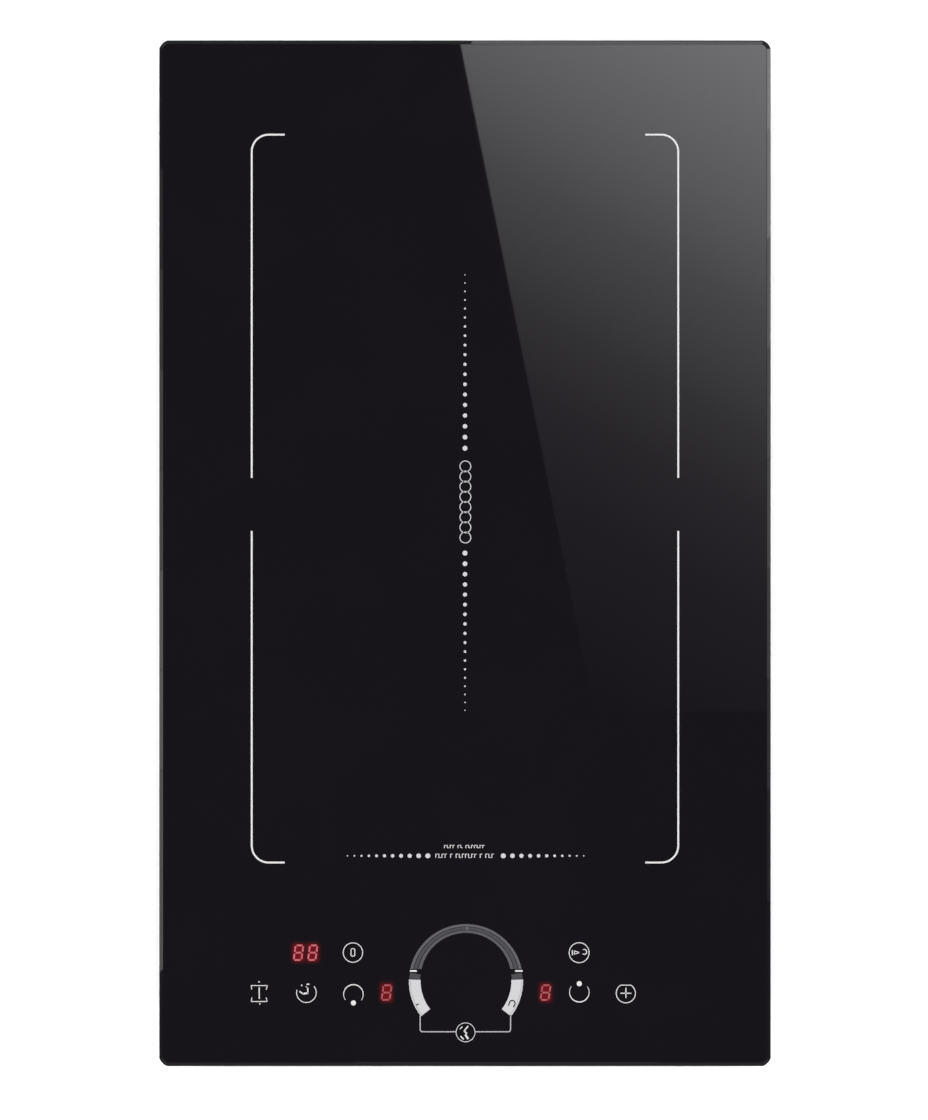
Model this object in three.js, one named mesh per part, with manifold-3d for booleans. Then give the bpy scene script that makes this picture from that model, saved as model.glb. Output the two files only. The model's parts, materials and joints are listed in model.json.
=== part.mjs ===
// Slim built-in induction cooktop: one long cooking zone over two coils, with touch controls at the front.
// Millimetres, +Z up, +Y towards the back. The origin is the centre of the casing's underside.
import * as THREE from "three";
import { mergeVertices } from "three/addons/utils/BufferGeometryUtils.js";
import Module from "manifold-3d";

const wasm = await Module();
wasm.setup();

// ---------- driving dimensions ----------
const GLASS = {
  width: 310,
  depth: 520,
  thickness: 4,
  corner: 4,
  bevelWidth: 1.8,
  bevelDrop: 1.2,
  arris: 0.4,
};
const GLASS_BOTTOM = 58; // height of the glass's underside
const RIM = 11.5; // the glass overhangs the casing by this much all round
const SHEET = 1; // sheet steel of the casing and the frame
const FIT = 0.3; // gap between pieces that fit into each other
const CASE = {
  width: GLASS.width - 2 * RIM,
  depth: GLASS.depth - 2 * RIM,
  top: 56.5,
  corner: 10,
  bend: 2.5,
};
const SEAL = { inset: 1.5, width: 4, thickness: 3 };
const FRAME = { flange: 5.5, webBottom: 44, flangeBottom: 57 };
const CASE_SCREW = { y: 200, z: 50, shank: 1.9, head: 3.5, headHeight: 1, length: 8 };

const CLAMP = {
  stations: { rear: 150, front: -184 }, // middle of each pocket along Y
  pocketDepth: 24,
  pocketLength: 52,
  pocketTop: 34,
  pivotInset: 11, // from the casing's side to the screw's axis
  pivotOffset: 17, // from the pocket's middle to the screw's axis
  reach: 36,
  width: 14,
  plateBottom: 5,
  plateThickness: 3,
  tooth: 2,
  screw: 2.2,
  screwHead: 4.5,
  screwTop: 38.5,
};

const ZONE_Y = 28; // middle of the cooking zone
const COIL = { pitch: 184, radius: 88, segments: 32 };
const CARRIER = { width: 200, depth: 178, corner: 24, bottom: 40, rim: 4, sheet: 1.2, hole: 12 };
const CROSSBAR = { bottom: 27, thickness: 1.5, flange: 7, width: 20, middleWidth: 30, tabTop: 42 };
const SPRING = { radius: 4.5, wire: 1.2, turns: 3.5, sideways: 70, offset: 7 };

const BOARD = { left: -45, right: 118, front: -146, back: 90, bottom: 6.5, thickness: 1.6 };
const HEATSINK = {
  left: -114,
  right: -46,
  front: -60,
  back: 85,
  bottom: 3.25,
  top: 26,
  floor: 3.5,
  fins: 11,
  fin: 1.6,
  wall: 4,
};
const FAN = {
  x: -68,
  y: 150,
  bottom: 2,
  top: 24.5,
  wall: 2,
  cover: 1.5,
  inlet: 28,
  outlet: -56, // where the housing's mouth ends, from the rotor's axis
  rotor: 33,
  shaft: 1.5,
  blades: 20,
};
const CONTROL = { width: 220, front: -244.4, back: -188, bottom: 50, thickness: 1.6 };
const HOLDER = { bottom: 45.5, top: 57.5, floor: 1.5, wall: 1.2, legX: 100 };
const RING = { x: 0.5, y: -216.7, outer: 29.5, inner: 22.5, from: -38, to: 218 }; // degrees from +X
const TERMINAL = { left: 58, right: 132, back: 247, front: 211, bottom: 8, top: 41, wall: 2 };
const COVER = { y: 247, z: 38.6, thickness: 2, bar: 1.4 }; // y and z are the hinge's axis
const GLAND = { x: 40, z: 15, body: 8, flange: 11, bore: 4.6 };
const VENT = { slot: 3.5, pitch: 7 };

const caseSide = CASE.width / 2;
const caseBack = CASE.depth / 2;
const boardTop = BOARD.bottom + BOARD.thickness;
const crossbarTop = CROSSBAR.bottom + CROSSBAR.thickness;

// ---------- materials ----------
function finish(color, roughness, metalness) {
  return new THREE.MeshStandardMaterial({ color, roughness, metalness });
}

const MATERIAL = {
  glass: finish(0x0b0b0d, 0.05, 0),
  seal: finish(0x1c1c1e, 0.9, 0),
  casing: finish(0xa6abad, 0.42, 0.9),
  zinc: finish(0xb4b8bc, 0.35, 1),
  spring: finish(0xc8c8c6, 0.3, 1),
  aluminium: finish(0xc2c5c8, 0.4, 1),
  copper: finish(0xb0623a, 0.45, 0.8),
  mica: finish(0xb9b2a2, 0.7, 0),
  former: finish(0xd8d4c8, 0.6, 0),
  blackPlastic: finish(0x17181a, 0.5, 0),
  whitePlastic: finish(0xdedfdc, 0.4, 0),
  silicone: finish(0xe4e2dc, 0.7, 0),
  circuitBoard: finish(0x1d5a34, 0.5, 0),
  component: finish(0x202124, 0.4, 0),
  capacitor: finish(0x9aa0a4, 0.5, 0),
  ferrite: finish(0x3a3c3e, 0.6, 0.1),
  display: finish(0x2a0a0c, 0.2, 0),
  lightGuide: finish(0xd9dde0, 0.2, 0),
  cable: finish(0xa9a9a6, 0.6, 0),
  leadSleeve: finish(0xb84a2c, 0.6, 0),
};

// ---------- shape helpers ----------

/** Outline of a rectangle with round corners, anticlockwise, as [x, y] pairs. */
function roundedRect(width, depth, radius, steps = 4, x = 0, y = 0) {
  const signs = [[1, 1], [-1, 1], [-1, -1], [1, -1]];
  return signs.flatMap(([sx, sy], quarter) =>
    Array.from({ length: steps + 1 }, (_, i) => {
      const angle = ((quarter + i / steps) * Math.PI) / 2;
      return [
        x + sx * (width / 2 - radius) + radius * Math.cos(angle),
        y + sy * (depth / 2 - radius) + radius * Math.sin(angle),
      ];
    }),
  );
}

/** A surface through outlines at given heights. It ends in flat caps, or joins its own start if closed. */
function skin(loops, closed = false) {
  const count = loops[0].outline.length;
  const positions = loops.flatMap(({ outline, z }) => outline.flatMap(([x, y]) => [x, y, z]));
  const triangles = [];
  const bands = closed ? loops.length : loops.length - 1;
  for (let band = 0; band < bands; band++) {
    const low = band * count;
    const high = ((band + 1) % loops.length) * count;
    for (let i = 0; i < count; i++) {
      const j = (i + 1) % count;
      triangles.push(low + i, low + j, high + j, low + i, high + j, high + i);
    }
  }
  if (!closed) {
    const last = (loops.length - 1) * count;
    const outline = loops[0].outline.map(([x, y]) => new THREE.Vector2(x, y));
    for (const [a, b, c] of THREE.ShapeUtils.triangulateShape(outline, [])) {
      triangles.push(c, b, a, last + a, last + b, last + c);
    }
  }
  return new THREE.BufferGeometry()
    .setAttribute("position", new THREE.Float32BufferAttribute(positions, 3))
    .setIndex(triangles);
}

/** A box between two corners. */
function box([x0, y0, z0], [x1, y1, z1]) {
  const size = new THREE.BoxGeometry(x1 - x0, y1 - y0, z1 - z0);
  return size.translate((x0 + x1) / 2, (y0 + y1) / 2, (z0 + z1) / 2);
}

const shapeOf = (pairs) => new THREE.Shape(pairs.map(([x, y]) => new THREE.Vector2(x, y)));

/** A prism on a flat outline, from height z0 to z1. Holes are outlines too. */
function prism(outline, z0, z1, holes = []) {
  const shape = shapeOf(outline);
  shape.holes = holes.map(shapeOf);
  return new THREE.ExtrudeGeometry(shape, { depth: z1 - z0, bevelEnabled: false }).translate(0, 0, z0);
}

/** Points on an arc, in degrees from +X, both ends included. */
function arc(x, y, radius, from, to, steps) {
  return Array.from({ length: steps + 1 }, (_, i) => {
    const angle = THREE.MathUtils.degToRad(from + ((to - from) * i) / steps);
    return [x + radius * Math.cos(angle), y + radius * Math.sin(angle)];
  });
}

/** A round outline, anticlockwise. */
const circle = (x, y, radius, steps = 24) => arc(x, y, radius, 0, 360, steps).slice(0, steps);

/** A body of revolution about Z from [radius, z] pairs, on the axis at both ends or closed on itself. */
function turned(profile, segments = 24) {
  const points = profile.map(([radius, z]) => new THREE.Vector2(radius, z));
  return faceOut(new THREE.LatheGeometry(points, segments).rotateX(Math.PI / 2));
}

/** A round bar about the line through [x, y] along Z, from z0 to z1. */
const bar = (x, y, radius, z0, z1, segments = 16) =>
  turned([[0, z0], [radius, z0], [radius, z1], [0, z1]], segments).translate(x, y, 0);

/** A tube of a few sides along points that a smooth curve joins. */
function tube(points, radius, sides, steps) {
  const path = new THREE.CatmullRomCurve3(points.map(([x, y, z]) => new THREE.Vector3(x, y, z)));
  const section = shapeOf(circle(0, 0, radius, sides));
  return new THREE.ExtrudeGeometry(section, { steps, extrudePath: path, bevelEnabled: false });
}

/** Turns a closed geometry's faces outwards if they point in. */
function faceOut(geometry) {
  const merged = bare(geometry);
  const at = merged.getAttribute("position");
  const index = merged.index.array;
  const [a, b, c] = [new THREE.Vector3(), new THREE.Vector3(), new THREE.Vector3()];
  let volume = 0;
  for (let i = 0; i < index.length; i += 3) {
    a.fromBufferAttribute(at, index[i]);
    b.fromBufferAttribute(at, index[i + 1]);
    c.fromBufferAttribute(at, index[i + 2]);
    volume += a.dot(b.cross(c));
  }
  if (volume < 0) {
    for (let i = 0; i < index.length; i += 3) [index[i], index[i + 1]] = [index[i + 1], index[i]];
  }
  return merged;
}

/** The geometry with positions only and its shared vertices merged. */
function bare(geometry) {
  const flat = geometry.index ? geometry.toNonIndexed() : geometry;
  const positions = new THREE.BufferGeometry().setAttribute("position", flat.getAttribute("position"));
  return mergeVertices(positions, 1e-4);
}

/** A closed geometry as a manifold-3d solid. */
function solid(geometry) {
  const merged = bare(geometry);
  const vertProperties = merged.getAttribute("position").array;
  const triVerts = new Uint32Array(merged.index.array);
  return new wasm.Manifold(new wasm.Mesh({ numProp: 3, vertProperties, triVerts }));
}

/** A manifold-3d solid as a geometry. */
function geometryOf(body) {
  const { numProp, vertProperties, triVerts } = body.getMesh();
  const positions = new Float32Array((vertProperties.length / numProp) * 3);
  for (let i = 0; i < positions.length / 3; i++) {
    positions.set(vertProperties.subarray(i * numProp, i * numProp + 3), i * 3);
  }
  return new THREE.BufferGeometry()
    .setAttribute("position", new THREE.BufferAttribute(positions, 3))
    .setIndex(new THREE.BufferAttribute(new Uint32Array(triVerts), 1));
}

const joined = (...geometries) =>
  geometryOf(geometries.map(solid).reduce((whole, next) => whole.add(next)));
const cut = (geometry, ...tools) =>
  geometryOf(tools.map(solid).reduce((whole, tool) => whole.subtract(tool), solid(geometry)));

/** One named sub-part. */
function part(name, geometry, material) {
  const mesh = new THREE.Mesh(geometry, material);
  mesh.name = name;
  return mesh;
}

/** A group of sub-parts, moved as a whole. */
function assembly(parts, x = 0, y = 0, z = 0) {
  const group = new THREE.Group();
  group.add(...parts);
  group.position.set(x, y, z);
  return group;
}

// ---------- glass, seal and frame ----------

/** An outline set in from the glass's edge, or out of it if inset is negative. */
const glassLoop = (inset, z) => ({
  outline: roundedRect(GLASS.width - 2 * inset, GLASS.depth - 2 * inset, Math.max(GLASS.corner - inset, 1)),
  z,
});

/** An outline set in from the casing's side. */
const caseLoop = (inset, z) => ({
  outline: roundedRect(CASE.width - 2 * inset, CASE.depth - 2 * inset, CASE.corner - inset),
  z,
});

function glassPanel() {
  const top = GLASS_BOTTOM + GLASS.thickness;
  return skin([
    glassLoop(GLASS.arris, GLASS_BOTTOM),
    glassLoop(0, GLASS_BOTTOM + GLASS.arris),
    glassLoop(0, top - GLASS.bevelDrop),
    glassLoop(GLASS.bevelWidth, top),
  ]);
}

function worktopSeal() {
  const bottom = GLASS_BOTTOM - SEAL.thickness;
  const inner = SEAL.inset + SEAL.width;
  const loops = [[SEAL.inset, bottom], [SEAL.inset, GLASS_BOTTOM], [inner, GLASS_BOTTOM], [inner, bottom]];
  return skin(loops.map(([inset, z]) => glassLoop(inset, z)), true);
}

/** An angle frame: its web stands inside the casing's wall, and its flange is glued under the glass. */
function glassFrame() {
  const web = SHEET + FIT;
  const ring = skin(
    [
      caseLoop(web, FRAME.webBottom),
      caseLoop(web, FRAME.flangeBottom),
      caseLoop(-FRAME.flange, FRAME.flangeBottom),
      caseLoop(-FRAME.flange, GLASS_BOTTOM),
      caseLoop(web + SHEET, GLASS_BOTTOM),
      caseLoop(web + SHEET, FRAME.webBottom),
    ],
    true,
  );
  return cut(ring, ...caseScrewHoles());
}

/** Clearance bars through both side walls where the casing's screws go. */
function caseScrewHoles() {
  return [-1, 1].map((way) =>
    bar(0, 0, CASE_SCREW.shank + FIT, -CASE.width, CASE.width, 12)
      .rotateY(Math.PI / 2)
      .translate(0, way * CASE_SCREW.y, CASE_SCREW.z),
  );
}

function caseScrew(side) {
  const { shank, head, headHeight, length } = CASE_SCREW;
  const profile = [[0, headHeight], [head * 0.7, headHeight], [head, headHeight / 2], [head, 0]];
  return turned([...profile, [shank, 0], [shank, -length], [0, -length]], 12).rotateY((side * Math.PI) / 2);
}

// ---------- casing ----------

/** The middle of a clamp's pocket and its screw's axis. side is 1 on the right and -1 on the left. */
function clampPlace(side, station) {
  const y = CLAMP.stations[station];
  return { x: side * (caseSide - CLAMP.pivotInset), y: y + CLAMP.pivotOffset, middle: y, side };
}

const clampPlaces = Object.keys(CLAMP.stations).flatMap((station) =>
  [-1, 1].map((side) => ({
    ...clampPlace(side, station),
    name: `${station}_${side < 0 ? "left" : "right"}`,
  })),
);

/** The space of a pocket in the casing's side, grown by some margin on its inner faces. */
function pocket({ side, middle }, margin, outward) {
  const half = CLAMP.pocketLength / 2 + margin;
  const inner = side * (caseSide - CLAMP.pocketDepth - margin);
  const outer = side * (caseSide + outward);
  const [x0, x1] = [Math.min(inner, outer), Math.max(inner, outer)];
  return box([x0, middle - half, margin ? 0 : -5], [x1, middle + half, CLAMP.pocketTop + margin]);
}

/** Slots across a round grille, as long as its circle leaves them. */
function grilleSlots(x, y, radius) {
  const rows = Math.floor(radius / VENT.pitch);
  return Array.from({ length: 2 * rows + 1 }, (_, i) => (i - rows) * VENT.pitch).map((dy) => {
    const half = Math.sqrt(radius ** 2 - dy ** 2);
    return box([x - half, y + dy - VENT.slot / 2, -1], [x + half, y + dy + VENT.slot / 2, CASE.bend]);
  });
}

/** A row of equal slots: count boxes of a given size, a pitch apart along X. */
function slotRow(count, pitch, [x, y, z], [width, depth, height]) {
  return Array.from({ length: count }, (_, i) => {
    const left = x + i * pitch - width / 2;
    return box([left, y - depth / 2, z], [left + width, y + depth / 2, z + height]);
  });
}

function baseTray() {
  const outside = [caseLoop(CASE.bend, 0), caseLoop(0, CASE.bend), caseLoop(0, CASE.top)];
  const innerBend = CASE.bend + 0.4;
  const inside = [caseLoop(SHEET, CASE.top), caseLoop(SHEET, innerBend), caseLoop(innerBend, SHEET)];
  const shell = solid(skin([...outside, ...inside]));
  const block = solid(skin(outside));
  const pocketWalls = clampPlaces.map((place) => solid(pocket(place, SHEET, 0)).intersect(block));
  const nuts = clampPlaces.map(({ x, y }) =>
    solid(bar(x, y, 5, CLAMP.pocketTop + SHEET / 2, CLAMP.pocketTop + SHEET + 3, 12)),
  );
  const whole = [...pocketWalls, ...nuts].reduce((sum, next) => sum.add(next), shell);
  const opening = box(
    [TERMINAL.left + TERMINAL.wall, caseBack - 5, TERMINAL.bottom + TERMINAL.wall],
    [TERMINAL.right - TERMINAL.wall, caseBack + 5, TERMINAL.top],
  );
  const tools = [
    ...clampPlaces.map((place) => pocket(place, 0, 5)),
    ...clampPlaces.map(({ x, y }) =>
      bar(x, y, CLAMP.screw + FIT, CLAMP.pocketTop - 1, CLAMP.screwTop + 2, 12),
    ),
    ...caseScrewHoles(),
    ...grilleSlots(FAN.x, FAN.y, 31),
    ...slotRow(9, 12, [-8, -20, -1], [VENT.slot, 56, 4]),
    ...slotRow(15, 14, [-98, -caseBack, 12], [VENT.slot, 6, 20]),
    ...slotRow(11, 12, [-108, caseBack, 14], [VENT.slot, 6, 20]),
    bar(0, 0, GLAND.body + FIT, -5, 5, 20).rotateX(Math.PI / 2).translate(GLAND.x, caseBack, GLAND.z),
    opening,
  ];
  return geometryOf(tools.map(solid).reduce((tray, tool) => tray.subtract(tool), whole));
}

// ---------- worktop clamps ----------

/** A flat finger with its hole at the origin. It points to -Y and has a raised tooth at its tip. */
function clampFinger() {
  const half = CLAMP.width / 2;
  const { plateBottom: z0, reach, tooth } = CLAMP;
  const z1 = z0 + CLAMP.plateThickness;
  const outline = [...arc(0, 0, half, 0, 180, 8), ...arc(2 - half, 2 - reach, 2, 180, 270, 3)];
  outline.push(...arc(half - 2, 2 - reach, 2, 270, 360, 3));
  const plate = prism(outline, z0, z1, [circle(0, 0, CLAMP.screw + FIT, 12)]);
  return joined(plate, box([-half, -reach + 2, z1 - 1], [half, -reach + 8, z1 + tooth]));
}

/** A long screw that hangs from the casing, with the finger on its head. */
function clampScrew() {
  const { screw, screwHead, screwTop, plateBottom } = CLAMP;
  const shoulder = plateBottom - FIT;
  const head = [[0, 1.6], [screwHead * 0.75, 1.6], [screwHead, 2.8], [screwHead, shoulder]];
  const shank = [[screw, shoulder], [screw, screwTop - 1.5], [screw * 0.6, screwTop], [0, screwTop]];
  return turned([...head, ...shank], 12);
}

// ---------- induction coils ----------

/** A flat ring between two radii and two heights. */
const washer = (inner, outer, z0, z1, segments = COIL.segments) =>
  turned([[inner, z0], [outer, z0], [outer, z1], [inner, z1], [inner, z0]], segments);

/** An aluminium sheet with its edges turned up and a hole in the middle for the leads. */
function coilCarrier() {
  const { width, depth, corner, bottom, rim, sheet, hole } = CARRIER;
  const loop = (inset, height) => ({
    outline: roundedRect(width - 2 * inset, depth - 2 * inset, corner - inset, 3),
    z: bottom + height,
  });
  const tray = skin([loop(0, 0), loop(0, rim), loop(sheet, rim), loop(sheet, sheet)]);
  return cut(tray, bar(0, 0, hole, bottom - 1, bottom + rim));
}

/** The plastic ring that holds the winding: a floor with a wall inside and outside it. */
function coilFormer() {
  const { radius, segments } = COIL;
  const inside = [[5.6, 46], [radius, 46], [radius, 54], [radius - 1.5, 54], [radius - 1.5, 47.5]];
  const hub = [[20, 47.5], [20, 54], [18, 54], [18, 47.5], [5.6, 47.5], [5.6, 46]];
  const feet = [45, 135, 225, 315].map((angle) => {
    const turn = THREE.MathUtils.degToRad(angle);
    return bar((radius - 8) * Math.cos(turn), (radius - 8) * Math.sin(turn), 4, 41.4, 46.5, 8);
  });
  return joined(turned([...inside, ...hub], segments), ...feet);
}

function temperatureSensor() {
  return turned([[0, 42], [5, 42], [5, 49], [8, 49], [8, 56], [6.5, 57.7], [0, 57.7]], 16);
}

/** One coil with what carries it, about its own middle. */
function coilUnit(name, y) {
  return assembly(
    [
      part(`coil_carrier_${name}`, coilCarrier(), MATERIAL.aluminium),
      part(`coil_former_${name}`, coilFormer(), MATERIAL.former),
      part(`coil_winding_${name}`, washer(22, COIL.radius - 3, 48, 53.5), MATERIAL.copper),
      part(`insulation_pad_${name}`, washer(12, COIL.radius, 54.5, 57.5), MATERIAL.mica),
      part(`temperature_sensor_${name}`, temperatureSensor(), MATERIAL.silicone),
    ],
    0,
    y,
  );
}

/** A channel across the casing that the springs stand on, with a pin in each spring. */
function crossbar(width, pins) {
  const end = caseSide - SHEET - 0.2;
  const half = width / 2;
  const { bottom, flange, tabTop } = CROSSBAR;
  const parts = [
    box([-end, -half, bottom], [end, half, crossbarTop]),
    ...[-1, 1].map((way) => {
      const edges = [way * half, way * (half - 1.2)].sort((a, b) => a - b);
      return box([-end + 4, edges[0], bottom], [end - 4, edges[1], bottom + flange]);
    }),
    ...[-1, 1].map((way) => {
      const edges = [way * end, way * (end - 1.2)].sort((a, b) => a - b);
      return box([edges[0], -half, bottom], [edges[1], half, tabTop]);
    }),
    ...pins.map(([x, y]) => bar(x, y, 2.5, crossbarTop - 0.5, crossbarTop + 5, 8)),
  ];
  return joined(...parts);
}

/** The line of a compression spring's wire about Z. */
class SpringLine extends THREE.Curve {
  getPoint(t, target = new THREE.Vector3()) {
    const angle = 2 * Math.PI * SPRING.turns * t;
    const low = crossbarTop + FIT + SPRING.wire / 2;
    const high = CARRIER.bottom - FIT - SPRING.wire / 2;
    const [x, y] = [SPRING.radius * Math.cos(angle), SPRING.radius * Math.sin(angle)];
    return target.set(x, y, low + (high - low) * t);
  }
}

function coilSpring() {
  const section = shapeOf(circle(0, 0, SPRING.wire / 2, 4));
  return new THREE.ExtrudeGeometry(section, {
    steps: 26,
    extrudePath: new SpringLine(),
    bevelEnabled: false,
  });
}

/** Where the springs stand: two under each coil on the middle bar, and one under its outer end. */
const outerSpringY = 76;
const springPlaces = [1, -1].flatMap((way) => {
  const coil = way > 0 ? "rear" : "front";
  const y = ZONE_Y + way * SPRING.offset;
  const middle = [-1, 1].map((side) => ({ coil, x: side * SPRING.sideways, y }));
  return [...middle, { coil, x: 0, y: ZONE_Y + way * (COIL.pitch / 2 + outerSpringY) }];
});

function coilSupports() {
  const outer = COIL.pitch / 2 + outerSpringY;
  const pins = springPlaces.filter(({ x }) => x !== 0).map(({ x, y }) => [x, y - ZONE_Y]);
  const bars = [
    ["crossbar_rear", crossbar(CROSSBAR.width, [[0, 0]]), ZONE_Y + outer],
    ["crossbar_middle", crossbar(CROSSBAR.middleWidth, pins), ZONE_Y],
    ["crossbar_front", crossbar(CROSSBAR.width, [[0, 0]]), ZONE_Y - outer],
  ].map(([name, geometry, y]) => assembly([part(name, geometry, MATERIAL.zinc)], 0, y));
  const springs = springPlaces.map(({ coil, x, y }, i) =>
    assembly([part(`coil_spring_${coil}_${(i % 3) + 1}`, coilSpring(), MATERIAL.spring)], x, y),
  );
  return [...bars, ...springs];
}

/** A sleeved lead from the power board up into a coil's middle. */
function coilLead(name, coilY, startY) {
  const side = 8.5; // beside the sensor's stem
  const way = Math.sign(coilY - startY);
  const points = [
    [60, startY, boardTop + 0.3],
    [60, startY, 18],
    [48, startY + way * 8, 30],
    [20, coilY - way * 3, 35.5],
    [side + 1, coilY, 37.5],
    [side, coilY, 41],
    [side, coilY, 45.6],
  ];
  return part(`coil_lead_${name}`, tube(points, 1.5, 6, 16), MATERIAL.leadSleeve);
}

// ---------- power electronics ----------

function boardCarrier() {
  const [left, right, front, back] = [-117, BOARD.right + 3, BOARD.front - 3, BOARD.back + 3];
  const centre = [(left + right) / 2, (front + back) / 2];
  const loop = (inset, z) => ({
    outline: roundedRect(right - left - 2 * inset, back - front - 2 * inset, 4 - inset, 2, ...centre),
    z,
  });
  const tray = skin([loop(0, 1.25), loop(0, 7), loop(1.5, 7), loop(1.5, 2.75)]);
  const posts = [BOARD.left + 6, BOARD.right - 6].flatMap((x) =>
    [BOARD.front + 6, BOARD.back - 8].map((y) => bar(x, y, 3, 2, BOARD.bottom, 8)),
  );
  const vents = slotRow(9, 12, [-8, -20, 0], [VENT.slot, 56, 4]);
  return cut(joined(tray, ...posts), ...vents);
}

function powerBoard() {
  const outline = [
    [BOARD.left, BOARD.front], [BOARD.right, BOARD.front],
    [BOARD.right, BOARD.back - 12], [BOARD.right - 12, BOARD.back], [BOARD.left, BOARD.back],
  ];
  const vents = [-1, 1].map((way) => circle(30 + way * 26, -20, 6, 12));
  return prism(outline, BOARD.bottom, boardTop, vents);
}

/** An extruded comb: a floor with upright fins, the last one thick enough to screw the transistors to. */
function heatsink() {
  const { left, right, bottom, top, fins, fin, wall, front, back } = HEATSINK;
  const floor = bottom + HEATSINK.floor;
  const pitch = (right - wall - left) / fins;
  const outline = [[left, bottom], [right, bottom], [right, top]];
  outline.push([right - wall, top], [right - wall, floor]);
  for (let i = fins - 1; i >= 0; i--) {
    const x = left + i * pitch;
    outline.push([x + fin, floor], [x + fin, top], [x, top]);
    if (i > 0) outline.push([x, floor]);
  }
  return prism(outline, 0, back - front).rotateX(Math.PI / 2).translate(0, back, 0);
}

/** A flat package standing against the heatsink's wall, with its legs in the board. */
function powerPackage(width, height, y) {
  const x = HEATSINK.right + FIT;
  const bottom = boardTop + 3;
  const body = box([x, y - width / 2, bottom], [x + 4.6, y + width / 2, bottom + height]);
  const legs = [-1, 0, 1].map((i) =>
    box([x + 1.8, y + i * 5 - 0.6, boardTop + 0.2], [x + 2.8, y + i * 5 + 0.6, bottom + 1]),
  );
  return joined(body, ...legs);
}

/** A moulded box component with chamfered top edges. */
function boxComponent(x, y, width, depth, height) {
  const loop = (inset, z) => ({
    outline: roundedRect(width - 2 * inset, depth - 2 * inset, 1, 1, x, y),
    z,
  });
  const bottom = boardTop + 0.2;
  return skin([loop(0, bottom), loop(0, bottom + height - 1.5), loop(1.5, bottom + height)]);
}

function mainsChoke() {
  const steps = Array.from({ length: 9 }, (_, i) => (i / 8) * 2 * Math.PI);
  const profile = steps.map((angle) => [15 + 6 * Math.cos(angle), boardTop + 6.3 + 6 * Math.sin(angle)]);
  return turned(profile, 20).translate(88, -104, 0);
}

function powerElectronics() {
  return [
    part("board_carrier", boardCarrier(), MATERIAL.blackPlastic),
    part("power_board", powerBoard(), MATERIAL.circuitBoard),
    part("heatsink", heatsink(), MATERIAL.aluminium),
    part("power_transistor_rear", powerPackage(16, 14, 66), MATERIAL.component),
    part("power_transistor_front", powerPackage(16, 14, -4), MATERIAL.component),
    part("bridge_rectifier", powerPackage(30, 14, -38), MATERIAL.component),
    part("resonance_capacitor", boxComponent(14, 74, 42, 26, 24), MATERIAL.capacitor),
    part("smoothing_capacitor", boxComponent(14, -92, 42, 22, 24), MATERIAL.capacitor),
    part("mains_choke", mainsChoke(), MATERIAL.copper),
  ];
}

// ---------- blower ----------

/** The blower seen from above, about the rotor: a spiral, then an outlet to -Y, all grown by a margin. */
function scrollOutline(margin, outletEnd) {
  const steps = 20;
  const spiral = Array.from({ length: steps + 1 }, (_, i) => {
    const t = i / steps;
    const angle = THREE.MathUtils.degToRad(-98 + 278 * t);
    const radius = 38 + 9 * t + margin;
    return [radius * Math.cos(angle), radius * Math.sin(angle)];
  });
  const tongue = -5 + margin;
  spiral[0][0] = tongue;
  return [...spiral, [-47 - margin, outletEnd], [tongue, outletEnd]];
}

function fanScroll() {
  const { bottom, top, wall, inlet } = FAN;
  const outside = prism(scrollOutline(wall, FAN.outlet), bottom, top);
  const inside = prism(scrollOutline(0, FAN.outlet - 2), bottom + 1.5, top + 1);
  return cut(outside, inside, bar(0, 0, inlet, 0, bottom + 3, 24));
}

/** The lid that closes the scroll and carries the motor. */
function fanCover() {
  const { top, cover, wall } = FAN;
  const lid = prism(scrollOutline(wall, FAN.outlet), top, top + cover);
  const bearing = bar(0, 0, 10, top - 2, top + 0.5, 16);
  return cut(joined(lid, bearing), bar(0, 0, FAN.shaft + FIT, top - 3, top + 3, 8));
}

/** A drum of forward-curved blades between a top disc and a bottom ring, with its shaft. */
function fanRotor() {
  const { rotor, blades, top } = FAN;
  const disc = top - 4;
  const floor = 5;
  const tip = rotor - 0.4;
  const section = [[25, 0], [29, 1.6], [tip, 5], [tip, 6.2], [28.6, 3], [25, 1.2]];
  const blade = prism(section, floor, disc + 0.5);
  const drum = Array.from({ length: blades }, (_, i) => blade.clone().rotateZ((2 * Math.PI * i) / blades));
  return joined(
    turned([[0, disc], [rotor, disc], [rotor, disc + 1.5], [0, disc + 1.5]], 30),
    washer(31, rotor, floor, floor + 1.5, 30),
    turned([[0, 9], [10, 9], [12, 11], [12, disc + 0.5], [0, disc + 0.5]], 12),
    bar(0, 0, FAN.shaft, disc, top + 1, 8),
    ...drum,
  );
}

function blower() {
  return assembly(
    [
      part("fan_scroll", fanScroll(), MATERIAL.blackPlastic),
      part("fan_cover", fanCover(), MATERIAL.blackPlastic),
      part("fan_rotor", fanRotor(), MATERIAL.blackPlastic),
    ],
    FAN.x,
    FAN.y,
  );
}

// ---------- touch control ----------

const controlTop = CONTROL.bottom + CONTROL.thickness;

function controlBoard() {
  const { width, front, back, bottom } = CONTROL;
  return box([-width / 2, front, bottom], [width / 2, back, controlTop]);
}

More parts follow.
